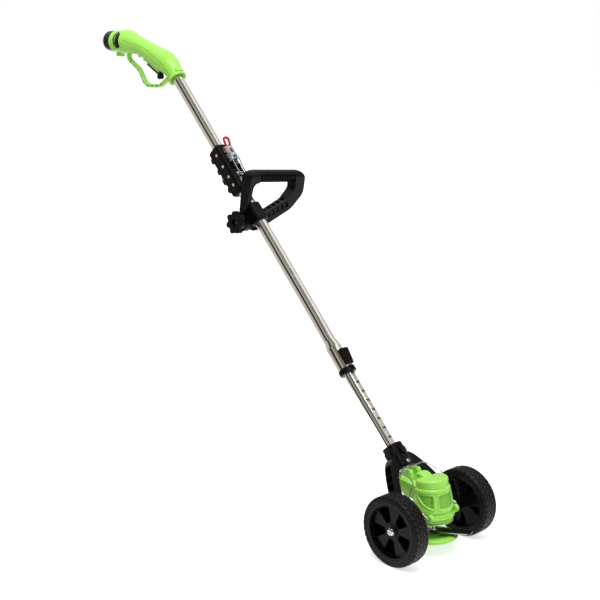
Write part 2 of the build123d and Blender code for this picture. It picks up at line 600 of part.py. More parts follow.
def loop_depth():
    """The loop seen from its end, in (q, depth): its legs widen towards the oval grip bar."""
    edge = Polyline((-BOSS_R - 1, 8.5), (18, 9.5), (GRIP_Q - 26, 12.5), (GRIP_Q, GRIP_DEPTH / 2))
    slant = cos(radians(45)) / 2
    crown = Spline(edge @ 1, (GRIP_Q + GRIP_THICK * slant, GRIP_DEPTH * slant), (GRIP_Q + GRIP_THICK / 2, 0),
                   tangents=((1, 0), (0, -1)))
    face = make_face([edge, crown, Polyline(crown @ 1, (-BOSS_R - 1, 0), edge @ 0)])
    plate = extrude(Plane.YZ.offset(-200) * face, 260)
    return plate + mirror(plate, Plane.XY)


def grip_flutes():
    """The row of grooves round the underside of the grip bar."""
    ring = Ellipse(GRIP_DEPTH / 2 + 2, GRIP_THICK / 2 + 2)
    ring -= Ellipse(GRIP_DEPTH / 2 - FLUTE_DEEP, GRIP_THICK / 2 - FLUTE_DEEP)
    lower = Rot(0, 0, FLUTE_TURN) * Pos(0, -25) * Rectangle(60, 50)
    groove = Pos(0, GRIP_Q, 0) * Rot(0, -90, 0) * extrude(ring & lower, FLUTE_WIDTH)
    return [Pos(FLUTE_FIRST - FLUTE_PITCH * step, 0, 0) * groove for step in range(FLUTES)]


def loop_handle():
    """The closed loop: a straight leg, the fluted grip bar and a slanting leg with ladder ribs."""
    near = LUG_HALF + GAP
    passing = CLAMP_FLAT + GAP
    side = near + BOSS_THICK
    outer = loop_outline([(side - 1.5, -8), (side - 3, GRIP_Q + 13.5), (-140, GRIP_Q + 13.5), (-145, 62),
                          (-112, 27), (-26, -14), (-near - 1, -14), (-near - 1, -8)],
                         (1, 24, 22, 26, 36, 4, 1, 1))
    inner = loop_outline([(passing, -60), (passing, 52), (passing - 2.3, 58), (near + 1, GRIP_Q - 13.5),
                          (-116, GRIP_Q - 13.5), (-117, 72), (-93, 47), (-42, 24), (-near, 16), (-near, -60)],
                         (1, 6, 6, 14, 5, 18, 26, 8, 2, 1))
    frame = extrude(Plane.XY.offset(-GRIP_DEPTH / 2) * (outer - inner), GRIP_DEPTH) & loop_depth()
    bar_face = Ellipse(GRIP_DEPTH / 2, GRIP_THICK / 2)
    bar = Pos(near - 4, GRIP_Q, 0) * Rot(0, -90, 0) * extrude(bar_face, near - 4 - GRIP_END)
    around = box(GRIP_END + 8, near - 14, GRIP_Q - 20, GRIP_Q + 20, -20, 20)
    frame -= around - bar
    bosses = rod_x(BOSS_R, near, side) + rod_x(BOSS_R, -side, -near)
    swing = rod_x(52, -passing, passing) - rod_x(BOSS_R, near, passing) - rod_x(BOSS_R, -passing, -near)
    body = frame + bosses - swing
    body -= leg_pockets()
    body -= grip_flutes()
    body -= rod_x(BOLT_DIA / 2 + SEAT, -60, 60)
    return LOOP * (body - rod_x(7.5, -side - 1, -side + 5))


def leg_pockets():
    """The open pockets between the ladder ribs: a row on both faces of the slanting leg and one inside it."""
    pockets = []
    for step in range(5):
        place = Pos(-44 - 13.0 * step, 16.7 + 5.5 * step, 0) * Rot(0, 0, -23)
        face_pocket = place * Pos(0, -2, 0) * Box(10.0, 12, 7)
        inner_pocket = place * Pos(0, 7.5, 0) * Box(10.0, 6, 10)
        pockets += [Pos(0, 0, 11) * face_pocket, Pos(0, 0, -11) * face_pocket, inner_pocket]
    return pockets


def handle_bolt():
    """The clamp bolt: its head sits in the far boss and the knob turns on its thread."""
    far = -LUG_HALF - GAP - BOSS_THICK
    shank = rod_x(BOLT_DIA / 2, far + 5, KNOB_BACK + KNOB_THICK - 5)
    return LOOP * (shank + hex_bar(10, far + 0.8, far + 5, 0, 0))


def handle_washer():
    near = LUG_HALF + GAP + BOSS_THICK
    return LOOP * (rod_x(9, near, KNOB_BACK - 0.2) - rod_x(BOLT_DIA / 2 + SEAT, near - 1, KNOB_BACK + 1))


def star_knob():
    """The seven-lobed clamping knob."""
    lobes = 7
    hub = Circle(KNOB_R - 5)
    for step in range(lobes):
        hub += Rot(0, 0, 360 / lobes * step) * Pos(KNOB_R - 6.5, 0) * Circle(6.5)
    star = extrude(hub, KNOB_THICK - 6)
    star = Pos(0, 0, 6) * star
    neck = rod_z(13, 0, 8)
    recess = rod_z(7.5, KNOB_THICK - 5, KNOB_THICK + 1)
    bore = rod_z(BOLT_DIA / 2 + RUN, -1, KNOB_THICK + 1)
    return LOOP * Pos(KNOB_BACK, 0, 0) * Rot(0, 90, 0) * (star + neck - recess - bore)


# ---------------------------------------------------------------- lower tube and yoke
LOWER_TUBE_TOP = 442.0
LOWER_TUBE_FOOT = 101.0
FLAT_N = INNER_TUBE_DIA / 2 - 0.65      # the flat pressed along the lower tube
NOTCH_PITCH = 21.0
NOTCH_FIRST = 166.0
NOTCHES = 8
LEG_FRONT = 12.0            # the legs' faces, square to the pole
LEG_BACK = -11.0
FOOT_GAP = 2.65             # from a foot to its wheel
LEG_OUT = WHEEL_GAP / 2 - FOOT_GAP      # outer face of the yoke's feet
LEG_WALL = 14.0
FLANGE = 2.6                # the legs' front and back flanges
RIBS = 5
RIB_FIRST = 33.0
RIB_PITCH = 17.0
ARCH_S = 103.0
NECK_WIDTH = 2 * INNER_TUBE_DIA / 2 + 14.0
NECK_DEPTH = INNER_TUBE_DIA + 10.5
NECK_N = 1.5                # middle of the neck
BAND_LOW = 127.0            # the raised band round the neck
BAND_TOP = 140.0
SPINE_HALF = 9.0
SPINE_FOOT = 100.5
SPINE_FACE = 18.5
AXLE_DIA = 8.0
HUB_BORE = AXLE_DIA / 2 + RUN
FOOT_R = 14.0
YOKE_SCREW_S = 107.5
BUTTON_N = SPINE_FACE - 1.1     # underside of the release button's cap
BUTTON_S = NECK_TOP - 16.0
BUTTON_STEM_R = 4.0
BUTTON_TRAVEL = 2.0
TILT_S = 84.0               # the head's tilt pin crosses the pole's axis here
TILT_PIN_DIA = 8.0
EYE_R = 11.0
EYE_HALF = 6.0


def lower_tube():
    r_out, r_in = INNER_TUBE_DIA / 2, INNER_TUBE_DIA / 2 - INNER_TUBE_WALL
    tube = pipe(r_out, r_in, LOWER_TUBE_FOOT, LOWER_TUBE_TOP)
    tube -= box(-20, 20, FLAT_N, 30, NECK_TOP + 3, LOWER_TUBE_TOP + 1)
    for step in range(NOTCHES):
        s = NOTCH_FIRST + NOTCH_PITCH * step
        tube -= box(-3.2, 3.2, FLAT_N - 0.35, 20, s - 1.8, s + 1.8)
    return tube - rod_y(2.0, 0, 20, 0, YOKE_SCREW_S)


def tube_top_bush():
    """The plastic slider at the top of the lower tube."""
    r_in = INNER_TUBE_DIA / 2 - INNER_TUBE_WALL
    head = rod_z(TUBE_DIA / 2 - TUBE_WALL - RUN, LOWER_TUBE_TOP, LOWER_TUBE_TOP + 14)
    plug = rod_z(r_in - SEAT, LOWER_TUBE_TOP - 15, LOWER_TUBE_TOP)
    return chamfer(head.edges().sort_by(Axis.Z)[-1], 1.5) + plug - rod_z(6, LOWER_TUBE_TOP - 20, LOWER_TUBE_TOP + 20)


def leg_edge(points, start, end):
    """A smooth edge through (x, s) points, leaving and arriving in the given directions."""
    return Spline(*points, tangents=(start, end))


def yoke_outline():
    """Front view of the yoke's right half below the neck, in (x, s)."""
    shoulder, inside = NECK_WIDTH / 2 + 4, LEG_OUT - LEG_WALL
    outer = leg_edge([(shoulder, BAND_LOW), (42.5, 103), (56.5, 75), (LEG_OUT - 7, 34), (LEG_OUT, 6)], (1, -0.6), (0, -1))
    inner = leg_edge([(inside, 6), (inside - 6.5, 34), (44.5, 69), (36.5, 85), (22, 99), (0, ARCH_S)], (0, 1), (-1, 0))
    foot = Polyline(outer @ 1, (LEG_OUT, -8), (inside, -8), inner @ 0)
    top = Polyline(inner @ 1, (0, BAND_LOW), outer @ 0)
    return make_face([outer, foot, inner, top])


def yoke_pocket():
    """The channel in the outer side of a leg, in (x, s)."""
    web = LEG_OUT - LEG_WALL + 4
    inner = leg_edge([(web, 17), (web - 6, 38), (50, 71), (42, 88), (25.5, 114)], (0, 1), (-0.4, 1))
    return make_face([inner, Polyline(inner @ 1, (140, 114), (140, 17), inner @ 0)])


def yoke_leg():
    """The right leg: a curved channel that is open outwards, with cross ribs and a round foot."""
    blank = front_plate(yoke_outline(), LEG_BACK, LEG_FRONT)
    pocket = front_plate(yoke_pocket(), LEG_BACK + FLANGE, LEG_FRONT - FLANGE)
    for step in range(RIBS):
        s = RIB_FIRST + RIB_PITCH * step
        pocket -= Pos(60, 0, s) * Rot(0, -18, 0) * Box(80, 60, 1.8)
    foot = rod_x(FOOT_R, LEG_OUT - LEG_WALL, LEG_OUT)
    return blank - pocket + foot


def yoke_neck():
    """The socket round the tube, its raised band and the spine down its front."""
    depth = Pos(0, NECK_N)
    socket = extrude(Plane.XY.offset(NECK_FOOT) * depth * RectangleRounded(NECK_WIDTH, NECK_DEPTH, 9),
                     NECK_TOP - NECK_FOOT)
    socket = fillet(socket.edges().group_by(Axis.Z)[-1], 2.0)
    band = extrude(Plane.XY.offset(BAND_LOW) * depth * RectangleRounded(NECK_WIDTH + 7, NECK_DEPTH - 3, 8),
                   BAND_TOP - BAND_LOW)
    band = fillet(band.edges().group_by(Axis.Z)[-1] + band.edges().group_by(Axis.Z)[0], 2.5)
    spine = box(-SPINE_HALF, SPINE_HALF, 10, SPINE_FACE, SPINE_FOOT, NECK_TOP)
    spine = fillet(spine.edges().filter_by(Axis.Z).sort_by(Axis.Y)[-2:], 2.0)
    keep_clear = box(-60, 60, -60, LEG_FRONT, 0, ARCH_S + 0.5)
    return socket + band + spine - keep_clear


def fork():
    """The moulded yoke: a neck that holds the tube and two ribbed legs."""
    leg = yoke_leg()
    body = leg + mirror(leg, Plane.YZ) + yoke_neck()
    button_room = Pos(0, SPINE_FACE, BUTTON_S) * Box(10.4, 2 * (SPINE_FACE - BUTTON_N + BUTTON_TRAVEL + 0.2), 20)
    groove = Pos(SPINE_HALF - 2.4, SPINE_FACE, (SPINE_FOOT + NECK_TOP) / 2 - 2) * Box(1.2, 1.2, 40)
    body -= rod_z(INNER_TUBE_DIA / 2 + SEAT, NECK_FOOT - 20, NECK_TOP + 5)
    body -= button_room + groove + mirror(groove, Plane.YZ)
    body -= rod_y(BUTTON_STEM_R + GAP, INNER_TUBE_DIA / 2, 30, 0, BUTTON_S)
    body -= rod_y(2.0, 5, 30, 0, YOKE_SCREW_S)
    return body - rod_x(AXLE_DIA / 2 + SEAT / 2, -LEG_OUT - 10, LEG_OUT + 10)


def fork_button():
    """The arch-topped release button in the neck's slot."""
    stem = rod_y(BUTTON_STEM_R, INNER_TUBE_DIA / 2 + BUTTON_TRAVEL + GAP, BUTTON_N, 0, BUTTON_S)
    arch = SlotOverall(15, 8.6)
    cap = Pos(0, BUTTON_N, BUTTON_S) * Rot(-90, 0, 0) * Rot(0, 0, 90) * extrude(arch, 4.2)
    return stem + chamfer(cap.edges().sort_by(Axis.Y)[-1], 1.0)


def fork_screw():
    shank = rod_y(2.0, 3, 18.5, 0, YOKE_SCREW_S)
    head = rod_y(4.0, 18.5, 21.3, 0, YOKE_SCREW_S)
    cross = box(-0.6, 0.6, 20.3, 22, YOKE_SCREW_S - 2.5, YOKE_SCREW_S + 2.5)
    return shank + fillet(head.edges().sort_by(Axis.Y)[-1], 1.0) - cross


def pivot_block():
    """The eye that carries the tilt pin, plugged into the lower tube."""
    r_in = INNER_TUBE_DIA / 2 - INNER_TUBE_WALL - SEAT
    eye = rod_x(EYE_R, -EYE_HALF, EYE_HALF, 0, TILT_S)
    neck = rod_z(8.8, TILT_S + 5, LOWER_TUBE_FOOT) & box(-EYE_HALF, EYE_HALF, -20, 20, TILT_S, LOWER_TUBE_FOOT)
    plug = rod_z(r_in, LOWER_TUBE_FOOT - 1, LOWER_TUBE_FOOT + 26)
    body = eye + neck + plug - rod_x(TILT_PIN_DIA / 2 + SEAT / 2, -20, 20, 0, TILT_S)
    return body - rod_y(2.0, 3, 20, 0, YOKE_SCREW_S)


# ---------------------------------------------------------------- wheels
WHEEL_IN = WHEEL_GAP / 2
WHEEL_OUT = WHEEL_IN + WHEEL_WIDTH
RIM_R = 52.0
HUB_R = 12.0
WEB_OUT = 9.0               # the spoke web lies this far inside the outer face
WEB_FLOOR = 11.0            # inner side of the closed floor, from the wheel's inner face
WEB_THICK = 2.4
SPOKES = 5
SPOKE_TURN = 6.0            # the first spoke's turn from upright, degrees
NUT_R = 7.0


def wheel_rim():
    """The moulded wheel centre, its axis along z and its outer face up: hollow spokes on a closed floor."""
    w = WHEEL_WIDTH
    ring = pipe(RIM_R - SEAT, RIM_R - 3.5, 1, w - 1)
    hub = rod_z(HUB_R, 4, w - 7)
    web = rod_z(RIM_R - 3, WEB_FLOOR, w - WEB_OUT)
    window = make_face([Line((17, -6), (43.5, -14.5)), ThreePointArc((43.5, -14.5), (47, 0), (43.5, 14.5)),
                        Line((43.5, 14.5), (17, 6)), ThreePointArc((17, 6), (16, 0), (17, -6))])
    recess = Pos(0, 0, WEB_FLOOR + WEB_THICK) * extrude(window, w)
    hollow = extrude(make_face(Polyline((20, -1.6), (45, -9.5), (45, 9.5), (20, 1.6), close=True)),
                     w - WEB_OUT - WEB_THICK)
    for step in range(SPOKES):
        web -= Rot(0, 0, 360 / SPOKES * step - SPOKE_TURN) * recess
        web -= Rot(0, 0, 360 / SPOKES * (step + 0.5) - SPOKE_TURN) * hollow
    return ring + hub + web - rod_z(HUB_BORE, -1, w + 1)


def wheel_tyre():
    """The tyre, with a shoulder groove on each side."""
    w = WHEEL_WIDTH
    body = rod_z(WHEEL_R, 0, w)
    body = fillet(body.edges(), 5)
    body -= rod_z(RIM_R, -1, w + 1)
    for z0 in (-1, w - 1.2):
        body -= pipe(RIM_R + 6.4, RIM_R + 4.6, z0, z0 + 2.2)
    return body


def wheel_place(side):
    """Sets a wheel, built with its outer face up, on the axle."""
    return Pos(side * WHEEL_IN, 0, WHEEL_R) * Rot(0, 90 * side, 0)


def axle_bolt():
    """One stub axle, from inside the yoke's foot to the outer hub face."""
    w = WHEEL_WIDTH
    inner = -(WHEEL_IN - (LEG_OUT - LEG_WALL))
    shank = rod_z(AXLE_DIA / 2, inner, w - 6)
    head = rod_z(7.0, inner - 4, inner)
    spacer = pipe(6.5, AXLE_DIA / 2, LEG_OUT - WHEEL_IN + 0.05, 3.7)
    return shank + head + spacer


def axle_nut():
    """The pressed star nut at the outer end of an axle."""
    w = WHEEL_WIDTH
    dome = rod_z(NUT_R, w - 6.7, w - 4.2)
    dome = fillet(dome.edges().sort_by(Axis.Z)[-1], 1.6)
    return dome - rod_z(AXLE_DIA / 2, w - 8, w - 6)


# ---------------------------------------------------------------- motor head, in the head frame
CASE_WALL = 3.0
CASE_FOOT = 53.0
CASE_WAIST = 60.0           # the barrel tapers from here up
CASE_FOOT_R = 38.5
CASE_TOP = 99.5
CASE_TOP_R = 33.5
BROW_FOOT = 91.5            # the raised ring below the cap
BROW_PROUD = 1.2
PANEL_DEEP = 1.5
PANEL_LOW = 63.0
PANEL_HIGH = 88.5
CAP_R = 32.0
CAP_TOP = 116.0
CAP_BACK = -8.0             # where the cap's back wall crosses the middle plane
CAP_TURN = 8.0              # that wall's slant, degrees
HUMP_HALF = 12.0
CAP_SCREW_X = 21.0
CAP_SCREW_Y = 8.0
POST_R = 3.8
POST_FOOT = CASE_TOP - 16
BOX_HALF = 31.0             # the rear box
BOX_DROOP = 0.231           # slope of the rear box's top
FLANGE_FOOT = 30.0
EAR_Y = 23.8
EAR_H = 48.9
EAR_IN = 33.0
EAR_FACE = 40.8
WIRE_R = 1.25
WIRE_HALF = 42.6
SPINDLE_DIA = 8.0
MOTOR_R = 18.5
BLADE_R = 73.0
BLADE_TURN = 112.0
BLADE_WIDTH = 22.0
BLADE_THICK = 1.8
BLADE_H = 11.2
DISC_R = 45.0
DISC_FOOT = -6.0            # the disc's flat underside
GLIDE_FLAT = 24.0           # radius of the flat ring's middle
TILT_CHEEK = 16.0           # outer face of the two pin lugs


def pole_to_head(n, s):
    """A point on the pole's middle plane, in the head frame's (y, h)."""
    y = n * sin(LIFT) - s * cos(LIFT) - HEAD_Y
    z = n * cos(LIFT) + s * sin(LIFT) + WHEEL_R - HEAD_Z
    lean = radians(HEAD_LEAN)
    return y * cos(lean) + z * sin(lean), -y * sin(lean) + z * cos(lean)


PIN_Y, PIN_H = pole_to_head(0, TILT_S)
KNUCKLE_R = 13.0
LUG_TOP = PIN_H + 17.5
LUG_FRONT = PIN_Y + 23.2


def taper_r(h):
    """The barrel's outer radius at a height."""
    return CASE_FOOT_R - (CASE_FOOT_R - CASE_TOP_R) * (h - CASE_WAIST) / (CASE_TOP - CASE_WAIST)


def behind_cap(forward=0.0):
    """The room behind the cap's slanting back wall, and above the case."""
    room = Pos(0, CAP_BACK + forward - 50, CASE_TOP + 50) * Box(200, 100, 100 + 2 * CASE_WALL)
    return Pos(0, CAP_BACK, 0) * Rot(0, 0, -CAP_TURN) * Pos(0, -CAP_BACK, 0) * room


def rear_block(larger=0.0):
    """The box behind the barrel, its top rising towards the tilt pin."""
    top_back = CASE_TOP - BOX_DROOP * (PIN_Y + 3)
    outline = [(0, 77), (-38, 77), (PIN_Y + 3.4, 92), (PIN_Y + 1.4, top_back - 4), (PIN_Y + 3, top_back + larger),
               (0, CASE_TOP + larger)]
    return side_plate(outline, -BOX_HALF, BOX_HALF)


def pin_lugs():
    """The two lugs that hold the tilt pin, one each side of the pivot block's eye."""
    outline = [(LUG_FRONT, PIN_H - 9), (LUG_FRONT, PIN_H + 3), (PIN_Y + 17, LUG_TOP), (PIN_Y + 5, LUG_TOP),
               (PIN_Y - 5.6, PIN_H + 11.7), (PIN_Y - 5.6, PIN_H - 11), (PIN_Y + 6, PIN_H - 17)]
    lugs = side_plate(outline, -TILT_CHEEK, TILT_CHEEK)
    lugs = fillet(lugs.edges().filter_by(Axis.X).group_by(Axis.Z)[-1], 3)
    lugs += rod_x(KNUCKLE_R, -TILT_CHEEK, TILT_CHEEK, PIN_Y, PIN_H)
    half = EYE_HALF + GAP
    return lugs - box(-half, half, PIN_Y - 40, LUG_FRONT + 1, PIN_H - KNUCKLE_R, PIN_H + 40)


def motor_housing():
    """The green case: a tapered barrel, the rear box and the lugs of the tilt pin."""
    r0, r1 = CASE_FOOT_R, CASE_TOP_R
    barrel = spun([(0, CASE_FOOT), (r0 - 2.5, CASE_FOOT), (r0, CASE_FOOT + 3), (r0, CASE_WAIST), (r1, CASE_TOP),
                   (0, CASE_TOP)])
    brow_r = taper_r(BROW_FOOT)
    brow = spun([(r1 - 1, BROW_FOOT), (brow_r, BROW_FOOT), (brow_r + BROW_PROUD, BROW_FOOT + 1.5),
                 (brow_r + BROW_PROUD - 0.5, CASE_TOP - 2), (r1 + 0.4, CASE_TOP - 0.5), (r1 - 1, CASE_TOP - 0.5)])
    hollow = spun([(0, CASE_FOOT + CASE_WALL), (r0 - CASE_WALL, CASE_FOOT + CASE_WALL + 1),
                   (r0 - CASE_WALL, CASE_WAIST), (r1 - CASE_WALL, CASE_TOP), (r1 - CASE_WALL, CASE_TOP + 1),
                   (0, CASE_TOP + 1)])
    rear = rear_block()
    rear = fillet(rear.edges().filter_by(Axis.X).sort_by(Axis.Y)[:2], 3)
    rear = chamfer(rear.edges().filter_by(Plane.YZ).group_by(Axis.Z)[-1], 1.0)
    rear = rear - (rod_z(r1 + SEAT, CASE_TOP, CASE_TOP + 40) - behind_cap())
    half = EYE_HALF + GAP
    slot = box(-half, half, PIN_Y - 40, PIN_Y + KNUCKLE_R, PIN_H - KNUCKLE_R, PIN_H + 40)
    body = barrel + brow + (rear - slot) + pin_lugs()
    body -= hollow - behind_cap()
    body -= rod_x(TILT_PIN_DIA / 2 + RUN, -40, 40, PIN_Y, PIN_H)
    body -= rod_z(13, CASE_FOOT - 1, CASE_FOOT + 5)
    body += cap_posts()
    for x, y in cap_screw_spots():
        body -= rod_z(SPLIT_SCREW, POST_FOOT - 1, CASE_TOP + 1, x, y)
        body -= rod_z(3.4, CASE_FOOT - 1, CASE_FOOT + CASE_WALL + 2, x, y)
    return body - side_panels()


def side_panels():
    """The shallow recessed panels round the barrel: one in front and a curved one each side."""
    low_r, high_r = taper_r(PANEL_LOW), taper_r(PANEL_HIGH)
    skin = spun([(low_r - PANEL_DEEP, PANEL_LOW), (low_r + 3, PANEL_LOW), (high_r + 3, PANEL_HIGH),
                 (high_r - PANEL_DEEP, PANEL_HIGH)])
    front = front_plate(Pos(0, (PANEL_LOW + PANEL_HIGH) / 2) * RectangleRounded(37, PANEL_HIGH - PANEL_LOW, 3), 10, 60)
    sweep = Spline((-16.8, PANEL_LOW + 1.4), (-5.7, PANEL_LOW + 3.6), (6.3, PANEL_LOW + 12.8), (16.8, PANEL_HIGH))
    flank = make_face([sweep, Polyline(sweep @ 1, (-16.8, PANEL_HIGH), sweep @ 0)])
    flank = Rot(0, 0, -73) * front_plate(flank, 10, 60)
    return [skin & front, skin & flank, skin & mirror(flank, Plane.YZ)]


def cap_hump():
    """The ridge that runs back from the cap's top, over the rear box."""
    back = LUG_FRONT + 0.7
    ridge = Spline((CAP_BACK + 7, CAP_TOP - 5), (CAP_BACK + 1, CAP_TOP + 1.2), (-19, CAP_TOP + 6.2),
                   (-27, CAP_TOP + 5), (back, CAP_TOP - 5), tangents=((-0.6, 1), (-0.2, -1)))
    outline = make_face([ridge, Polyline(ridge @ 1, (back, CASE_TOP), (CAP_BACK + 7, CASE_TOP), ridge @ 0)])
    hump = extrude(Plane.YZ.offset(-HUMP_HALF) * outline, 2 * HUMP_HALF)
    hump = fillet(hump.edges().filter_by(Plane.YZ).filter_by(GeomType.BSPLINE), 3.5)
    return hump - rod_x(1.8, HUMP_HALF - 4, HUMP_HALF + 1, -22, CAP_TOP)


def motor_cap():
    """The domed cap on the barrel, with a flat back and the ridge behind it."""
    low = CASE_TOP + 0.02
    dome = rod_z(CAP_R, low, CAP_TOP)
    dome = fillet(dome.edges().sort_by(Axis.Z)[-1], 5)
    dome = dome - behind_cap()
    inside = rod_z(CAP_R - CASE_WALL, low - 1, CAP_TOP - CASE_WALL) - behind_cap(CASE_WALL)
    body = dome + (cap_hump() - rear_block(0.02)) - inside
    for x, y in cap_screw_spots():
        body += rod_z(POST_R, low, CAP_TOP - CASE_WALL + 0.5, x, y) - rod_z(SPLIT_SCREW, low - 1, CAP_TOP - 5, x, y)
    return body


def cap_screw_spots():
    """Where the two cap screws go down into the case, as (x, y)."""
    return [(-CAP_SCREW_X, CAP_SCREW_Y), (CAP_SCREW_X, CAP_SCREW_Y)]


def cap_posts():
    """The two posts inside the case that the cap is screwed to, each tied to the wall by a rib."""
    reach = CASE_TOP_R - CASE_WALL / 2 - 1
    posts = rod_z(POST_R, POST_FOOT, CASE_TOP, CAP_SCREW_X, CAP_SCREW_Y)
    posts += box(CAP_SCREW_X, reach, CAP_SCREW_Y - 1, CAP_SCREW_Y + 1, POST_FOOT, CASE_TOP - 1)
    return posts + mirror(posts, Plane.YZ)


def housing_screws():
    """The two screws that hold the cap to the case, put in from below through holes in the case's floor."""
    screws = []
    for x, y in cap_screw_spots():
        head = rod_z(3.0, POST_FOOT - 1.8, POST_FOOT - 0.02, x, y)
        head = head - box(x - 2.2, x + 2.2, y - 0.4, y + 0.4, POST_FOOT - 2, POST_FOOT - 1)
        screws.append(rod_z(SPLIT_SCREW, POST_FOOT - 0.5, CAP_TOP - 5, x, y) + head)
    return Compound(children=screws)


def motor():
    can = rod_z(MOTOR_R, CASE_FOOT + CASE_WALL + 1, CASE_TOP - 6)
    can = fillet(can.edges(), 2)
    tail = rod_z(6, CASE_TOP - 7, CASE_TOP - 3)
    return can + tail - rod_z(2.5 + RUN, CASE_FOOT, CASE_FOOT + 24)


def guard_flange():
    """The stepped skirt below the case, with the two ears of the wire guard."""
    top = CASE_FOOT - 0.02
    body = spun([(0, FLANGE_FOOT), (31, FLANGE_FOOT), (34, FLANGE_FOOT + 2), (34, FLANGE_FOOT + 5),
                 (37.5, FLANGE_FOOT + 6.5), (37.5, FLANGE_FOOT + 9), (36, FLANGE_FOOT + 10),
                 (39.5, FLANGE_FOOT + 11.5), (40, FLANGE_FOOT + 15), (38, FLANGE_FOOT + 16.5),
                 (37.5, FLANGE_FOOT + 19), (36, top), (0, top)])
    body -= spun([(0, FLANGE_FOOT - 1), (28, FLANGE_FOOT - 1), (28, FLANGE_FOOT + 3), (24, FLANGE_FOOT + 8),
                  (0, FLANGE_FOOT + 8)])
    for side in (-1, 1):
        x0, x1 = sorted((side * EAR_IN, side * EAR_FACE))
        ear = rod_x(7.0, x0, x1, EAR_Y, EAR_H) + box(x0, x1, 8, EAR_Y, EAR_H - 7, EAR_H + 3)
        foot = box(*sorted((side * 26, side * EAR_FACE)), 10, EAR_Y + 3, EAR_H - 7, EAR_H - 3)
        body += ear + foot
    body -= rod_z(CASE_FOOT_R + 0.4, CASE_FOOT, CASE_FOOT + 60)
    body -= rod_z(11, FLANGE_FOOT + 7, top + 1)
    for side in (-1, 1):
        x0, x1 = sorted((side * (EAR_IN + 1), side * 60))
        body -= rod_x(WIRE_R + RUN, x0, x1, EAR_Y, EAR_H)
    return body


def wire_guard():
    """The bent wire that swings forward as a distance guard; it is stowed over the head here."""
    points = [(EAR_IN + 2.5, EAR_Y, EAR_H), (WIRE_HALF, EAR_Y, EAR_H), (WIRE_HALF, -21.4, 80.4),
              (WIRE_HALF, -6.2, 113.1), (33, -41.8, 130.5)]
    points += [(-x, y, h) for x, y, h in reversed(points)]
    return round_bar(points, (1.6, 6, 6, 14, 14, 6, 6, 1.6), WIRE_R)


def spindle_bearing():
    return pipe(11 - SEAT / 2, SPINDLE_DIA / 2 + SEAT / 2, FLANGE_FOOT + 8.2, FLANGE_FOOT + 17)


def spindle():
    """The output shaft, stepped down where it enters the motor."""
    body = rod_z(SPINDLE_DIA / 2, BLADE_H - 6, CASE_FOOT + CASE_WALL)
    shank = rod_z(2.5, CASE_FOOT, CASE_FOOT + 23)
    hub = rod_z(8.0, BLADE_H + BLADE_THICK, BLADE_H + BLADE_THICK + 4)
    return body + shank + hub


def blade():
    """A straight two-edged blade with ground cutting flanks."""
    outline = make_face(Polyline((-BLADE_R, -BLADE_WIDTH * 0.36), (-BLADE_R + 8, -BLADE_WIDTH / 2),
                                 (BLADE_R - 4, -BLADE_WIDTH / 2), (BLADE_R, -BLADE_WIDTH * 0.3),
                                 (BLADE_R, BLADE_WIDTH * 0.36), (BLADE_R - 8, BLADE_WIDTH / 2),
                                 (-BLADE_R + 4, BLADE_WIDTH / 2), (-BLADE_R, BLADE_WIDTH * 0.3), close=True))
    body = Pos(0, 0, BLADE_H) * extrude(outline, BLADE_THICK)
    for turn in (0, 180):
        bevel = Rot(0, 0, turn) * Pos(42, -BLADE_WIDTH / 2, BLADE_H + BLADE_THICK) * Rot(35, 0, 0) * Box(60, 6, 2.2)
        body -= bevel
    body -= rod_z(SPINDLE_DIA / 2 + SEAT / 2, 0, 40)
    return Rot(0, 0, BLADE_TURN) * body


def blade_nut():
    nut = extrude(RegularPolygon(6.5, 6, major_radius=False) - Circle(SPINDLE_DIA / 2 + SEAT / 2), 4.0)
    return Pos(0, 0, BLADE_H - 4.02) * nut


def glide_disc():
    """The dished disc that slides on the grass below the blade."""
    body = spun([(0, DISC_FOOT), (GLIDE_FLAT + 3, DISC_FOOT), (38, -4), (DISC_R, -0.5), (DISC_R, 2.5), (41.5, 3.2),
                 (40.5, 4.6), (32, 5.2), (31, 3.4), (12, 3.4), (12, BLADE_H - 4.5), (0, BLADE_H - 4.5)])
    body -= spun([(0, DISC_FOOT - 1), (20, DISC_FOOT - 1), (20, DISC_FOOT + 1.4), (0, DISC_FOOT + 1.4)])
    return body - rod_z(SPINDLE_DIA / 2 + RUN, -8, 12)


def disc_screw():
    """The shouldered screw that keeps the disc on the spindle's end."""
    head = rod_z(9, -5.9, -4.7)
    shank = rod_z(SPINDLE_DIA / 2, -4.7, BLADE_H - 6.02)
    return head + shank - box(-6, 6, -0.7, 0.7, -7, -5.3)


def tilt_pin():
    return rod_x(TILT_PIN_DIA / 2, -TILT_CHEEK + 0.5, TILT_CHEEK - 0.5, 0, TILT_S)


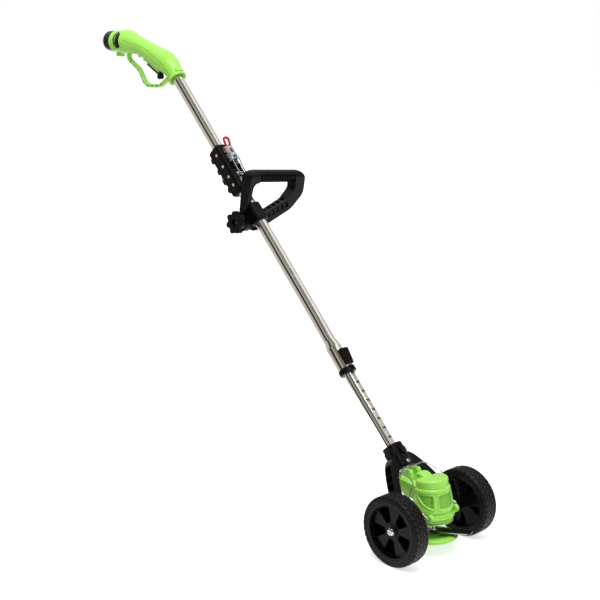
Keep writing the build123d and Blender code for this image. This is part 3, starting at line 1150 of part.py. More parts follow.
# ---------------------------------------------------------------- assembly
def build():
    """Every node in its place, with the axle above the origin."""
    nodes = {}
    pole = {
        "upper_tube": upper_tube(), "battery_pack": battery_pack(), "trigger": trigger(),
        "trigger_pin": trigger_pin(), "trigger_switch": trigger_switch(), "trigger_spring": trigger_spring(),
        "contact_block": contact_block(),
        "upper_sleeve_screws": sleeve_screws(SLEEVE_SCREWS_UPPER),
        "lower_sleeve_screws": sleeve_screws(SLEEVE_SCREWS_LOWER), "fold_pin": fold_pin(),
        "latch_base": latch_base(), "latch_pin": latch_pin(), "latch_lever": latch_lever(),
        "latch_grip": latch_grip(), "latch_bail": latch_bail(), "latch_catch": latch_catch(),
        "mid_tube": mid_tube(), "collar_bush": collar_bush(), "lock_button": lock_button(),
        "lock_spring": lock_spring(), "handle_clamp": handle_clamp(), "loop_handle": loop_handle(),
        "handle_bolt": handle_bolt(), "handle_washer": handle_washer(), "star_knob": star_knob(),
        "lower_tube": lower_tube(), "tube_top_bush": tube_top_bush(), "fork": fork(),
        "fork_button": fork_button(), "fork_screw": fork_screw(), "pivot_block": pivot_block(),
        "tilt_pin": tilt_pin(),
    }
    pole.update(grip_nodes())
    for name, upper in (("upper", True), ("lower", False)):
        right, left = halves(sleeve(upper))
        pole[name + "_sleeve_right"] = right
        pole[name + "_sleeve_left"] = left
    for name, shape in pole.items():
        nodes[name] = POLE * shape
    head = {
        "motor_housing": motor_housing(), "motor_cap": motor_cap(), "housing_screws": housing_screws(),
        "motor": motor(), "guard_flange": guard_flange(), "wire_guard": wire_guard(),
        "spindle_bearing": spindle_bearing(), "spindle": spindle(), "blade": blade(), "blade_nut": blade_nut(),
        "glide_disc": glide_disc(), "disc_screw": disc_screw(),
    }
    for name, shape in head.items():
        nodes[name] = HEAD * shape
    for side, name in ((1, "right"), (-1, "left")):
        place = wheel_place(side)
        nodes["wheel_" + name] = place * wheel_rim()
        nodes["tyre_" + name] = place * wheel_tyre()
    nodes["wheel_axles"] = Compound(children=[wheel_place(side) * axle_bolt() for side in (1, -1)])
    nodes["axle_nuts"] = Compound(children=[wheel_place(side) * axle_nut() for side in (1, -1)])
    return nodes


def recentre(nodes):
    """Moves everything so that the origin is on the ground below the middle of the box."""
    boxes = [shape.bounding_box() for shape in nodes.values()]
    right = max(b.max.X for b in boxes)
    left = min(b.min.X for b in boxes)
    front = max(b.max.Y for b in boxes)
    back = min(b.min.Y for b in boxes)
    low = min(b.min.Z for b in boxes)
    shift = Pos(-(right + left) / 2, -(front + back) / 2, -low)
    return {name: shift * shape for name, shape in nodes.items()}, shift


os.makedirs("parts", exist_ok=True)
NODES, SHIFT = recentre(build())
for node, shape in NODES.items():
    export_step(shape, "parts/" + node + ".step")
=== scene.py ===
"""Looks of a two-wheeled stick edger: finishes for its moulded, drawn and pressed pieces, and the
fine detail that its frame leaves out.  Metres, +Y forward, +X to the user's right, +Z up."""

import json
import math

import bmesh
import bpy
from mathutils.bvhtree import BVHTree
from mathutils import Matrix, Vector


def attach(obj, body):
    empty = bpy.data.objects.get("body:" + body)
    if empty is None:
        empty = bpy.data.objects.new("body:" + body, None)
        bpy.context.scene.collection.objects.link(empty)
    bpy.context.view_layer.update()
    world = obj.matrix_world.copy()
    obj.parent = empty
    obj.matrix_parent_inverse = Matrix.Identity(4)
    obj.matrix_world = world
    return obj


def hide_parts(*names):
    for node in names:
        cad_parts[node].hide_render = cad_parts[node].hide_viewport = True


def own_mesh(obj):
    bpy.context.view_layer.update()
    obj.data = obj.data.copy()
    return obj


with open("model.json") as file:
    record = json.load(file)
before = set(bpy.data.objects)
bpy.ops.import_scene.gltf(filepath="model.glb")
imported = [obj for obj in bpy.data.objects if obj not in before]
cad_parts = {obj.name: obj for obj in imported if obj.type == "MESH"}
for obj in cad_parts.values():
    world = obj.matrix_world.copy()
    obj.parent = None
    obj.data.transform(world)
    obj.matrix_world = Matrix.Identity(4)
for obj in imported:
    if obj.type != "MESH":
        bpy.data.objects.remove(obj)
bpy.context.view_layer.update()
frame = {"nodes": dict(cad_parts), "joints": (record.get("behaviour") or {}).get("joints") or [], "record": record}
MM = 0.001

# ------------------------------------------------------------------ places, read from the frame
JOINTS = {joint["name"]: joint for joint in frame["joints"]}


def joint_point(name):
    """A place that a joint turns about."""
    return Vector(JOINTS[name]["pos_m"])


def joint_axis(name):
    """The direction of a joint's axis or slide."""
    return Vector(JOINTS[name]["axis"]).normalized()


MIDDLE = joint_point("head_tilt").x
AXLE = Vector((MIDDLE, joint_point("wheel_right_spin").y, joint_point("wheel_right_spin").z))
ACROSS = Vector((1, 0, 0))
UP_POLE = joint_axis("telescope")
OFF_POLE = -joint_axis("fork_button_press")
SPINDLE = joint_axis("spindle_spin")
DISC_CENTRE = joint_point("disc_spin")


def local_frame(origin, x, y, z):
    """A matrix that takes local coordinates in millimetres to the frame's metres."""
    rows = Matrix((x, y, z)).transposed().to_4x4()
    return Matrix.Translation(origin) @ rows @ Matrix.Scale(MM, 4)


POLE = local_frame(AXLE, ACROSS, OFF_POLE, UP_POLE)
HEAD = local_frame(DISC_CENTRE, ACROSS, SPINDLE.cross(ACROSS), SPINDLE)
WHEEL_GAP = 165.3
TYRE_WIDTH = 36.0
TYRE_R = 66.75
BLADE_TURN = 112.0


def wheel_frame(side):
    """Local frame of a wheel: z runs outwards from the inner face, and x up or down."""
    origin = AXLE + Vector((side * WHEEL_GAP / 2 * MM, 0, 0))
    return local_frame(origin, Vector((0, 0, -side)), Vector((0, 1, 0)), Vector((side, 0, 0)))


# ------------------------------------------------------------------ finishes
NOISE_ROUGHNESS = 0.55
DRIFT_SCALE = 14.0
GLOSS_SCALE = 90.0
METAL_DRIFT_SCALE = 40.0
METAL_GLOSS_SCALE = 120.0
SCRATCH_SCALE = 500.0
SCRATCH_DEEP = 0.0001
GRAIN_DETAIL = 4.0
GRAIN_STRENGTH = 0.25
SMOOTHER = 0.015
ROUGHER = 0.02
PANEL_RIBS = 16
# rib colours of the panel floors: painted shade in the grooves and painted light on the crests, both darker than
# the case as painted recess shade
RIB_PAINTED_SHADE = (0.150, 0.440, 0.034)
RIB_PAINTED_LIT = (0.250, 0.600, 0.068)
RIB_ROUGH = 0.48
RIB_SHINE = 0.35
RIB_STRENGTH = 0.6
RIB_DEEP = 0.0006


def new_finish(name):
    """An empty node material and its Principled shader."""
    material = bpy.data.materials.new(name)
    material.use_nodes = True
    return material, material.node_tree, material.node_tree.nodes["Principled BSDF"]


def add_node(tree, kind, **settings):
    """A node of a kind, with its own settings."""
    node = tree.nodes.new(kind)
    for key, value in settings.items():
        setattr(node, key, value)
    return node


def object_point(tree):
    """The place on the piece, in its object's own metres."""
    return add_node(tree, "ShaderNodeTexCoord").outputs["Object"]


def noise(tree, point, scale, detail=3.0):
    """Soft random values over the piece; scale is how many there are to a metre."""
    node = add_node(tree, "ShaderNodeTexNoise")
    node.inputs["Scale"].default_value = scale
    node.inputs["Detail"].default_value = detail
    node.inputs["Roughness"].default_value = NOISE_ROUGHNESS
    tree.links.new(point, node.inputs["Vector"])
    return node.outputs["Fac"]


def spread(tree, value, low, high, low_in=0.3, high_in=0.7):
    """Maps a noise value to a range."""
    node = add_node(tree, "ShaderNodeMapRange")
    node.inputs["From Min"].default_value = low_in
    node.inputs["From Max"].default_value = high_in
    node.inputs["To Min"].default_value = low
    node.inputs["To Max"].default_value = high
    tree.links.new(value, node.inputs["Value"])
    return node.outputs["Result"]


def two_tone(tree, value, first, second):
    """Mixes two colours by a value."""
    node = add_node(tree, "ShaderNodeMix", data_type="RGBA")
    node.inputs["A"].default_value = (*first, 1)
    node.inputs["B"].default_value = (*second, 1)
    tree.links.new(value, node.inputs["Factor"])
    return node.outputs["Result"]


def bump(tree, shader, height, strength, distance):
    """Lets a height roughen the shader's surface."""
    node = add_node(tree, "ShaderNodeBump")
    node.inputs["Strength"].default_value = strength
    node.inputs["Distance"].default_value = distance
    tree.links.new(height, node.inputs["Height"])
    tree.links.new(node.outputs["Normal"], shader.inputs["Normal"])


def moulded(name, first, second, rough, grain, depth, shine):
    """A moulded plastic: slight colour drift, uneven gloss and a fine texture."""
    material, tree, shader = new_finish(name)
    shader.inputs["Specular IOR Level"].default_value = shine
    point = object_point(tree)
    drift = spread(tree, noise(tree, point, DRIFT_SCALE), 0.0, 1.0)
    tree.links.new(two_tone(tree, drift, first, second), shader.inputs["Base Color"])
    gloss = spread(tree, noise(tree, point, GLOSS_SCALE), rough - SMOOTHER, rough + ROUGHER)
    tree.links.new(gloss, shader.inputs["Roughness"])
    bump(tree, shader, noise(tree, point, grain, GRAIN_DETAIL), GRAIN_STRENGTH, depth)
    return material


def bright_metal(name, first, second, rough, wear):
    """A bright metal: slight tint drift, uneven polish and fine scratches."""
    material, tree, shader = new_finish(name)
    shader.inputs["Metallic"].default_value = 1.0
    point = object_point(tree)
    drift = spread(tree, noise(tree, point, METAL_DRIFT_SCALE), 0.0, 1.0)
    tree.links.new(two_tone(tree, drift, first, second), shader.inputs["Base Color"])
    gloss = spread(tree, noise(tree, point, METAL_GLOSS_SCALE), rough - SMOOTHER, rough + ROUGHER)
    tree.links.new(gloss, shader.inputs["Roughness"])
    bump(tree, shader, noise(tree, point, SCRATCH_SCALE), wear, SCRATCH_DEEP)
    return material


def shade_painted_ribbed_lime():
    """The lime plastic of the recessed panels: fine upright ribs that follow the panel's map. Its colours are
    painted shade and light: darker than the case as recess shade, grooves painted darker than crests.
    """
    material, tree, shader = new_finish("shade_painted_ribbed_lime")
    shader.inputs["Roughness"].default_value = RIB_ROUGH
    shader.inputs["Specular IOR Level"].default_value = RIB_SHINE
    place = add_node(tree, "ShaderNodeUVMap", uv_map="panel")
    split = add_node(tree, "ShaderNodeSeparateXYZ")
    tree.links.new(place.outputs[0], split.inputs[0])
    wide = add_node(tree, "ShaderNodeMath", operation="MULTIPLY")
    wide.inputs[1].default_value = 2 * math.pi * PANEL_RIBS
    tree.links.new(split.outputs["X"], wide.inputs[0])
    wave = add_node(tree, "ShaderNodeMath", operation="SINE")
    tree.links.new(wide.outputs[0], wave.inputs[0])
    rib = spread(tree, wave.outputs[0], 0.0, 1.0, -1.0, 1.0)
    tree.links.new(two_tone(tree, rib, RIB_PAINTED_SHADE, RIB_PAINTED_LIT), shader.inputs["Base Color"])
    bump(tree, shader, rib, RIB_STRENGTH, RIB_DEEP)
    return material


# name: two colours, roughness, scale and depth of the grain, shine
PLASTICS = {
    "lime_plastic": ((0.318, 0.700, 0.088), (0.342, 0.735, 0.108), 0.30, 900.0, 0.00012, 0.42),
    "black_plastic": ((0.0018, 0.0018, 0.0019), (0.0034, 0.0034, 0.0035), 0.27, 1600.0, 0.0003,
                      0.11),
    "tyre_rubber": ((0.0042, 0.0040, 0.0039), (0.0080, 0.0076, 0.0073), 0.45, 700.0, 0.0005, 0.15),
    "red_dip": ((0.36, 0.003, 0.006), (0.45, 0.005, 0.009), 0.24, 500.0, 0.0001, 0.4),
    # darker lime of the crease lines and the guard's pocket floors: painted shade
    "shade_painted_lime": ((0.030, 0.190, 0.004), (0.045, 0.240, 0.007), 0.5, 900.0, 0.0002, 0.3),
}
# name: two colours, roughness, depth of the scratches
METALS = {
    "chromed_tube": ((0.88, 0.87, 0.85), (0.84, 0.825, 0.80), 0.05, 0.002),
    "zinc_plate": ((0.48, 0.54, 0.60), (0.66, 0.70, 0.74), 0.13, 0.40),
    "cast_metal": ((0.42, 0.42, 0.44), (0.50, 0.50, 0.51), 0.42, 0.3),
    "wire_steel_and_spindle_shade": ((0.38, 0.39, 0.40), (0.48, 0.49, 0.50), 0.14, 0.05),
    "bright_screw": ((0.92, 0.92, 0.93), (0.84, 0.85, 0.86), 0.45, 0.1),
    "satin_steel": ((0.58, 0.57, 0.53), (0.74, 0.73, 0.69), 0.34, 0.2),
    # near-black steel: painted shade for the ladder's notches and the hole of the handle knob
    "shade_painted_steel": ((0.09, 0.09, 0.08), (0.15, 0.15, 0.13), 0.36, 0.15),
    "blade_steel": ((0.05, 0.05, 0.055), (0.08, 0.08, 0.085), 0.34, 0.2),
    "ground_edge": ((0.72, 0.73, 0.74), (0.62, 0.63, 0.65), 0.22, 0.2),
}
MADE = {name: moulded(name, *look) for name, look in PLASTICS.items()}
MADE |= {name: bright_metal(name, *look) for name, look in METALS.items()}
MADE["shade_painted_ribbed_lime"] = shade_painted_ribbed_lime()
# the finish of each slot of the frame; the others go on single pieces
SLOT_FINISH = {
    "lime_plastic": "lime_plastic",
    "black_plastic": "black_plastic",
    "tyre_rubber": "tyre_rubber",
    "chromed_tube": "chromed_tube",
    "zinc_steel": "zinc_plate",
    "red_plastic": "red_dip",
    "blade_steel": "blade_steel",
    "grey_casting": "cast_metal",
}
NODE_FINISH = {
    "wire_guard": "wire_steel_and_spindle_shade",
    # the spindle, blade nut and bearing take the darker wire finish as painted shade below the flange
    "spindle": "wire_steel_and_spindle_shade",
    "blade_nut": "wire_steel_and_spindle_shade",
    "spindle_bearing": "wire_steel_and_spindle_shade",
    # the handle bolt's end is darkened so the knob's hole reads dark: painted shade
    "handle_bolt": "shade_painted_steel",
    "upper_sleeve_screws": "bright_screw",
    "lower_sleeve_screws": "bright_screw",
}


def finish_of(slot, own=None):
    """The material of a slot, or a piece's own one."""
    return MADE[own or SLOT_FINISH[slot]]


def finish_nodes():
    """Gives every node of the frame its finish."""
    for part in frame["record"]["subparts"]:
        node = frame["nodes"][part["node"]]
        node.data.materials.clear()
        own = NODE_FINISH.get(part["node"])
        node.data.materials.append(finish_of(part["material_slot"], own))


# ------------------------------------------------------------------ making pieces
SAME_POINT = 0.001
CORNER_STEPS = 6
WIRE_SIDES = 12
THIN_WIRE_SIDES = 8


def mesh_of(name, vertices, faces, place):
    """A closed mesh from local millimetres, moved to its place with its faces outwards."""
    mesh = bpy.data.meshes.new(name)
    mesh.from_pydata([tuple(v) for v in vertices], [], faces)
    work = bmesh.new()
    work.from_mesh(mesh)
    bmesh.ops.remove_doubles(work, verts=work.verts, dist=SAME_POINT)
    bmesh.ops.recalc_face_normals(work, faces=work.faces)
    work.to_mesh(mesh)
    work.free()
    mesh.transform(place)
    return mesh


def joined_mesh(name, meshes):
    """One mesh of several."""
    work = bmesh.new()
    for mesh in meshes:
        work.from_mesh(mesh)
    whole = bpy.data.meshes.new(name)
    work.to_mesh(whole)
    work.free()
    return whole


def put_in_scene(name, data):
    """An object for a mesh, a lamp or a camera."""
    obj = bpy.data.objects.new(name, data)
    bpy.context.scene.collection.objects.link(obj)
    return obj


def add_piece(name, mesh, body, slot, sharp, own=None):
    """A finished mesh that rides on a body; edges that turn by more than sharp stay sharp."""
    obj = put_in_scene(name, mesh)
    mesh.materials.clear()
    mesh.materials.append(finish_of(slot, own))
    mesh.shade_smooth()
    mesh.set_sharp_from_angle(angle=math.radians(sharp))
    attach(obj, body)
    return obj


def turned(profile, steps=96):
    """A closed (radius, z) outline turned round z: vertices and faces."""
    vertices, faces = [], []
    count = len(profile)
    for step in range(steps):
        angle = 2 * math.pi * step / steps
        vertices += [(r * math.cos(angle), r * math.sin(angle), z) for r, z in profile]
    for step in range(steps):
        here, ahead = step * count, (step + 1) % steps * count
        for i in range(count):
            j = (i + 1) % count
            faces.append((here + i, here + j, ahead + j, ahead + i))
    return vertices, faces


def lofted(rows, ring=False):
    """Sections joined along their stations; the two ends are capped unless they meet."""
    count, total = len(rows[0]), len(rows)
    vertices = [point for row in rows for point in row]
    faces = []
    for i in range(total if ring else total - 1):
        here, ahead = i * count, (i + 1) % total * count
        for j in range(count):
            k = (j + 1) % count
            faces.append((here + j, here + k, ahead + k, ahead + j))
    if not ring:
        faces += [tuple(range(count)), tuple(range((total - 1) * count, total * count))]
    return vertices, faces


def softened(corners, ring=False):
    """Points along straight runs whose corners, each (x, y, z, reach), are rounded off."""
    points = []
    for i, (x, y, z, reach) in enumerate(corners):
        corner = Vector((x, y, z))
        if reach == 0 or (not ring and i in (0, len(corners) - 1)):
            points.append(corner)
            continue
        before = Vector(corners[i - 1][:3]) - corner
        after = Vector(corners[(i + 1) % len(corners)][:3]) - corner
        first = corner + before.normalized() * reach
        last = corner + after.normalized() * reach
        for step in range(CORNER_STEPS + 1):
            t = step / CORNER_STEPS
            points.append((1 - t) ** 2 * first + 2 * t * (1 - t) * corner + t * t * last)
    return points


def wire_rows(points, radius, sides=WIRE_SIDES):
    """Round sections along a bent wire, carried from one to the next without twist."""
    rows, side = [], None
    total = len(points)
    for i, point in enumerate(points):
        behind = points[max(i - 1, 0)]
        ahead = points[min(i + 1, total - 1)]
        along = (ahead - behind).normalized()
        if side is None:
            side = along.orthogonal()
        side = (side - side.project(along)).normalized()
        other = along.cross(side)
        size = radius(i / (total - 1)) if callable(radius) else radius
        rows.append([point + size * (math.cos(a) * side + math.sin(a) * other)
                     for a in (2 * math.pi * k / sides for k in range(sides))])
    return rows


def socket_id(tree, name):
    """The identifier of a tree's input, which its modifier is set by."""
    inputs = [item for item in tree.interface.items_tree if item.in_out == "INPUT"]
    return next(item.identifier for item in inputs if item.name == name)


def ring_tree():
    """Geometry Nodes: copies of a unit, evenly spaced round its z axis."""
    tree = bpy.data.node_groups.new("copies_round_the_axis", "GeometryNodeTree")
    tree.interface.new_socket("Unit", in_out="INPUT", socket_type="NodeSocketGeometry")
    tree.interface.new_socket("Count", in_out="INPUT", socket_type="NodeSocketInt")
    tree.interface.new_socket("Finish", in_out="INPUT", socket_type="NodeSocketMaterial")
    tree.interface.new_socket("Ring", in_out="OUTPUT", socket_type="NodeSocketGeometry")
    link = tree.links.new
    given = add_node(tree, "NodeGroupInput")
    made = add_node(tree, "NodeGroupOutput")
    points = add_node(tree, "GeometryNodeMeshLine")
    points.inputs["Offset"].default_value = (0, 0, 0)
    link(given.outputs["Count"], points.inputs["Count"])
    index = add_node(tree, "GeometryNodeInputIndex")
    share = add_node(tree, "ShaderNodeMath", operation="DIVIDE")
    link(index.outputs[0], share.inputs[0])
    link(given.outputs["Count"], share.inputs[1])
    angle = add_node(tree, "ShaderNodeMath", operation="MULTIPLY")
    angle.inputs[1].default_value = 2 * math.pi
    link(share.outputs[0], angle.inputs[0])
    turn = add_node(tree, "ShaderNodeCombineXYZ")
    link(angle.outputs[0], turn.inputs["Z"])
    copies = add_node(tree, "GeometryNodeInstanceOnPoints")
    link(points.outputs[0], copies.inputs["Points"])
    link(given.outputs["Unit"], copies.inputs["Instance"])
    link(turn.outputs[0], copies.inputs["Rotation"])
    finish_tree(tree, given, made, copies.outputs["Instances"])
    return tree


def spot_tree():
    """Geometry Nodes: a unit set on each point, turned by the point's stored angles."""
    tree = bpy.data.node_groups.new("copies_on_spots", "GeometryNodeTree")
    tree.interface.new_socket("Spots", in_out="INPUT", socket_type="NodeSocketGeometry")
    tree.interface.new_socket("Unit", in_out="INPUT", socket_type="NodeSocketObject")
    tree.interface.new_socket("Finish", in_out="INPUT", socket_type="NodeSocketMaterial")
    tree.interface.new_socket("Placed", in_out="OUTPUT", socket_type="NodeSocketGeometry")
    link = tree.links.new
    given = add_node(tree, "NodeGroupInput")
    made = add_node(tree, "NodeGroupOutput")
    unit = add_node(tree, "GeometryNodeObjectInfo")
    link(given.outputs["Unit"], unit.inputs["Object"])
    turn = add_node(tree, "GeometryNodeInputNamedAttribute", data_type="FLOAT_VECTOR")
    turn.inputs["Name"].default_value = "turn"
    copies = add_node(tree, "GeometryNodeInstanceOnPoints")
    link(given.outputs["Spots"], copies.inputs["Points"])
    link(unit.outputs["Geometry"], copies.inputs["Instance"])
    link(turn.outputs[0], copies.inputs["Rotation"])
    finish_tree(tree, given, made, copies.outputs["Instances"])
    return tree


def finish_tree(tree, given, made, instances):
    """The end of every tree: real geometry with its finish."""
    real = add_node(tree, "GeometryNodeRealizeInstances")
    coat = add_node(tree, "GeometryNodeSetMaterial")
    tree.links.new(instances, real.inputs[0])
    tree.links.new(real.outputs[0], coat.inputs["Geometry"])
    tree.links.new(given.outputs["Finish"], coat.inputs["Material"])
    tree.links.new(coat.outputs[0], made.inputs[0])


def grown(mesh, tree, settings):
    """Runs a tree on a mesh and returns the plain mesh that it makes."""
    obj = put_in_scene("grown", mesh)
    modifier = obj.modifiers.new("grow", "NODES")
    modifier.node_group = tree
    for key, value in settings.items():
        modifier[socket_id(tree, key)] = value
    evaluated = obj.evaluated_get(bpy.context.evaluated_depsgraph_get())
    done = bpy.data.meshes.new_from_object(evaluated)
    bpy.data.objects.remove(obj)
    return done


def ring_of(name, vertices, faces, count, place, slot):
    """A unit in local millimetres, copied round z and moved to its place."""
    unit = mesh_of(name, vertices, faces, Matrix.Identity(4))
    mesh = grown(unit, RING, {"Count": count, "Finish": finish_of(slot)})
    mesh.transform(place)
    return mesh


def spotted(name, vertices, faces, spots, place, slot, own=None):
    """A unit in local millimetres, set on each (point, turn) and moved to its place."""
    unit = put_in_scene(name, mesh_of(name, vertices, faces, Matrix.Identity(4)))
    points = bpy.data.meshes.new("spots")
    points.from_pydata([tuple(point) for point, turn in spots], [], [])
    stored = points.attributes.new("turn", "FLOAT_VECTOR", "POINT")
    for index, (point, turn) in enumerate(spots):
        stored.data[index].vector = turn
    mesh = grown(points, SPOTS, {"Unit": unit, "Finish": finish_of(slot, own)})
    bpy.data.objects.remove(unit)
    mesh.transform(place)
    return mesh


RING = ring_tree()
SPOTS = spot_tree()


# ------------------------------------------------------------------ tyres
TREAD_PITCHES = 36
TREAD_DEPTH = 2.1
BLOCK_SHARE = 0.82
WAVE_HIGH = 2.3
WAVE_LONG = 14.4
BLOCK_ROOT = 0.3
BLOCK_LEAN = 0.25
BLOCK_STEPS = 5
CROWN_FLAT = 12.5
CROWN_FALL = 0.16
CROWN_INSET = 0.04
SHOULDER = [(0.45, 62.3, 1.6, 61.6), (1.2, 64.3, 2.4, 62.9), (2.6, 65.6, 3.5, 64.0)]
SHOULDER_END = 7.0
TREAD_ROWS = [(4.6, 9.8), (11.2, 17.4), (18.7, 24.8), (26.2, 31.4)]
SIDE_WALL = [(52.0, 1.0), (52.6, 0.45), (56.3, 0.3), (56.6, 1.4), (58.3, 1.4), (58.6, 0.3),
             (60.8, 0.5), (62.0, 1.3), (63.4, 2.8), (64.4, 4.6)]
ROUND_STEPS = 128


def tread_top(z):
    """The tread's crown: its radius across the tyre's width."""
    beyond = max(0.0, abs(z - TYRE_WIDTH / 2) - CROWN_FLAT)
    return TYRE_R - CROWN_INSET - CROWN_FALL * beyond * beyond


def block_columns(row):
    """Stations across one block: outer (z, radius) and foot (z, radius)."""
    low, high = TREAD_ROWS[row]
    columns = []
    for step in range(BLOCK_STEPS + 1):
        z = low + (high - low) * step / BLOCK_STEPS
        columns.append((z, tread_top(z), z, tread_top(z) - TREAD_DEPTH - BLOCK_ROOT))
    if row == 0:
        columns = SHOULDER + columns
    if row == len(TREAD_ROWS) - 1:
        for z, r, z_foot, r_foot in reversed(SHOULDER):
            columns.append((TYRE_WIDTH - z, r, TYRE_WIDTH - z_foot, r_foot))
    return columns


def tread_unit():
    """One pitch of the tread: four wavy blocks side by side."""
    pitch = 2 * math.pi * TYRE_R / TREAD_PITCHES
    vertices, faces = [], []
    for row in range(len(TREAD_ROWS)):
        first = len(vertices)
        columns = block_columns(row)
        for z, r, z_foot, r_foot in columns:
            wave = WAVE_HIGH * math.sin(2 * math.pi * z / WAVE_LONG) + pitch * 0.5 * (row % 2)
            for arc in (wave, wave + pitch * BLOCK_SHARE):
                lean = -BLOCK_LEAN if arc == wave else BLOCK_LEAN
                for radius, height, slip in ((r, z, 0), (r_foot, z_foot, lean)):
                    angle = (arc + slip) / TYRE_R
                    vertices.append((radius * math.cos(angle), radius * math.sin(angle), height))
        for i in range(len(columns) - 1):
            a, b = first + 4 * i, first + 4 * (i + 1)
            faces += [(a, b, b + 2, a + 2), (a, a + 1, b + 1, b)]
            faces += [(a + 2, b + 2, b + 3, a + 3), (a + 1, a + 3, b + 3, b + 1)]
        last = first + 4 * (len(columns) - 1)
        faces += [(first, first + 2, first + 3, first + 1), (last, last + 1, last + 3, last + 2)]
    return vertices, faces


def tyre_outline():
    """The carcass: bore, beads, the groove on each side wall and the ground below the blocks."""
    half = SIDE_WALL + [(tread_top(SHOULDER_END) - TREAD_DEPTH, SHOULDER_END),
                        (TYRE_R - TREAD_DEPTH, TYRE_WIDTH / 2)]
    return half + [(r, TYRE_WIDTH - z) for r, z in reversed(half[:-1])]


def make_tyre(side, name):
    """One tyre: its carcass and its ring of tread blocks."""
    place = wheel_frame(side)
    body = "wheel_" + name + "_body"
    mesh = mesh_of("carcass", *turned(tyre_outline(), ROUND_STEPS), place)
    carcass = add_piece("tyre_carcass_" + name, mesh, body, "tyre_rubber", 24)
    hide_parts("tyre_" + name)
    blocks = ring_of("tread", *tread_unit(), TREAD_PITCHES, place, "tyre_rubber")
    add_piece("tyre_tread_" + name, blocks, body, "tyre_rubber", 40)


# ------------------------------------------------------------------ motor housing
PANEL_LOW = 63.0
PANEL_HIGH = 88.5
PANEL_DEEP = 1.5
PANEL_HALF = 19.6
PANEL_CORNER = 4.0
RIM_OUT = 1.2
RIM_BELOW = 1.3
BARREL_LOW = 60.0
BARREL_TALL = 39.5
BARREL_LOW_R = 38.5
BARREL_TAPER = 5.0
BARREL_MIDDLE_R = 36.0
FLANK_TURN = 73.0
FLANK_HALF = 16.8
FLANK_FOOT = 1.4
FLANK_RISE = 24.1
FLANK_END = 18.0
FLANK_TIP = 18.4
FLANK_CORNERS = (-9.0, -4.0, 0.5, 4.5, 8.0, 11.5, 14.5)
RIM_SECTION = [(-1.7, -0.4), (-1.5, 0.6), (-0.7, 1.35), (0.7, 1.35), (1.5, 0.6), (1.7, -0.4)]
FRONT_FLOOR_HALF = 18.3
FLANK_FLOOR_HALF = 16.6
FLOOR_EDGE = 0.1
FLOOR_LIFT = 0.12
FLOOR_COLUMNS = 14
FLOOR_STEPS = 6
FLOOR_MAP = 25.0
VENT_COUNT = 6
VENT_LIFT = 0.14
VENT_PITCH = 3.4
VENT_LOW = 68.0
VENT_PLACE = 13.4
# the vent holes are flat black discs on the panel floor: their black is painted shade
VENT_SHADE_DISC = [(0, -0.1), (0.95, -0.1), (0.95, 0.05), (0, 0.02)]
FLANGE_RINGS = ((37.3, 33.3), (39.9, 43.2), (38.7, 47.6))
RING_SECTION = [(-2.2, -0.9), (0.1, -0.8), (0.55, 0), (0.1, 0.8), (-2.2, 0.9)]
BLADE_HALF = 11.0
GROUND_FROM = 8.2
GROUND_SECTION = [(GROUND_FROM, 13.02), (BLADE_HALF, 12.2), (BLADE_HALF, 11.3), (GROUND_FROM, 12.9)]
GROUND_STATIONS = (-68.0, -40.0, 0.0, 40.0, 68.0)
COIL_TURN_STEPS = 16
COIL_START = Vector((-40.2, 17.5, 58.5))
COIL_PITCH = 1.1
COIL_R = 3.0
COIL_WIRE_R = 0.55
COIL_TAIL = [Vector((-43.4, 23.5, 53.0)), Vector((-42.4, 24.6, 50.8))]


def on_barrel(turn, u, h, out):
    """A point of the barrel: u round from the direction turn, at height h, standing out by out."""
    angle = math.radians(turn) + u / BARREL_MIDDLE_R
    r = BARREL_LOW_R - BARREL_TAPER * (h - BARREL_LOW) / BARREL_TALL + out
    return Vector((r * math.sin(angle), r * math.cos(angle), h))


def flank_low(u):
    """The curved lower edge of a side panel."""
    t = (u + FLANK_HALF) / (2 * FLANK_HALF)
    return PANEL_LOW + FLANK_FOOT + FLANK_RISE * (0.16 * t + 0.84 * t ** 1.9)


def panel_outline(front):
    """The run of a panel's rim, as (u, h, 0): a soft-cornered box in front, a fin at each side."""
    low, high, corner = PANEL_LOW - RIM_OUT, PANEL_HIGH + RIM_OUT, PANEL_CORNER
    if front:
        return softened([(-PANEL_HALF, low, 0, corner), (PANEL_HALF, low, 0, corner),
                         (PANEL_HALF, high, 0, corner), (-PANEL_HALF, high, 0, corner)], ring=True)
    curve = [(u, flank_low(u) - RIM_BELOW, 0, 0) for u in FLANK_CORNERS]
    top = [(FLANK_TIP, high, 0, corner / 2), (-FLANK_END, high, 0, corner)]
    return softened([(-FLANK_END, PANEL_LOW, 0, corner)] + curve + top, ring=True)


def panel_rim(turn, flip, front):
    """The raised bead round one recessed panel."""
    outline = panel_outline(front)
    rows = []
    for i, point in enumerate(outline):
        along = (outline[(i + 1) % len(outline)] - outline[i - 1]).normalized()
        row = []
        for across, out in RIM_SECTION:
            u, h = point.x - across * along.y, point.y + across * along.x
            row.append(on_barrel(turn, flip * u, h, out))
        rows.append(row)
    return lofted(rows, ring=True)


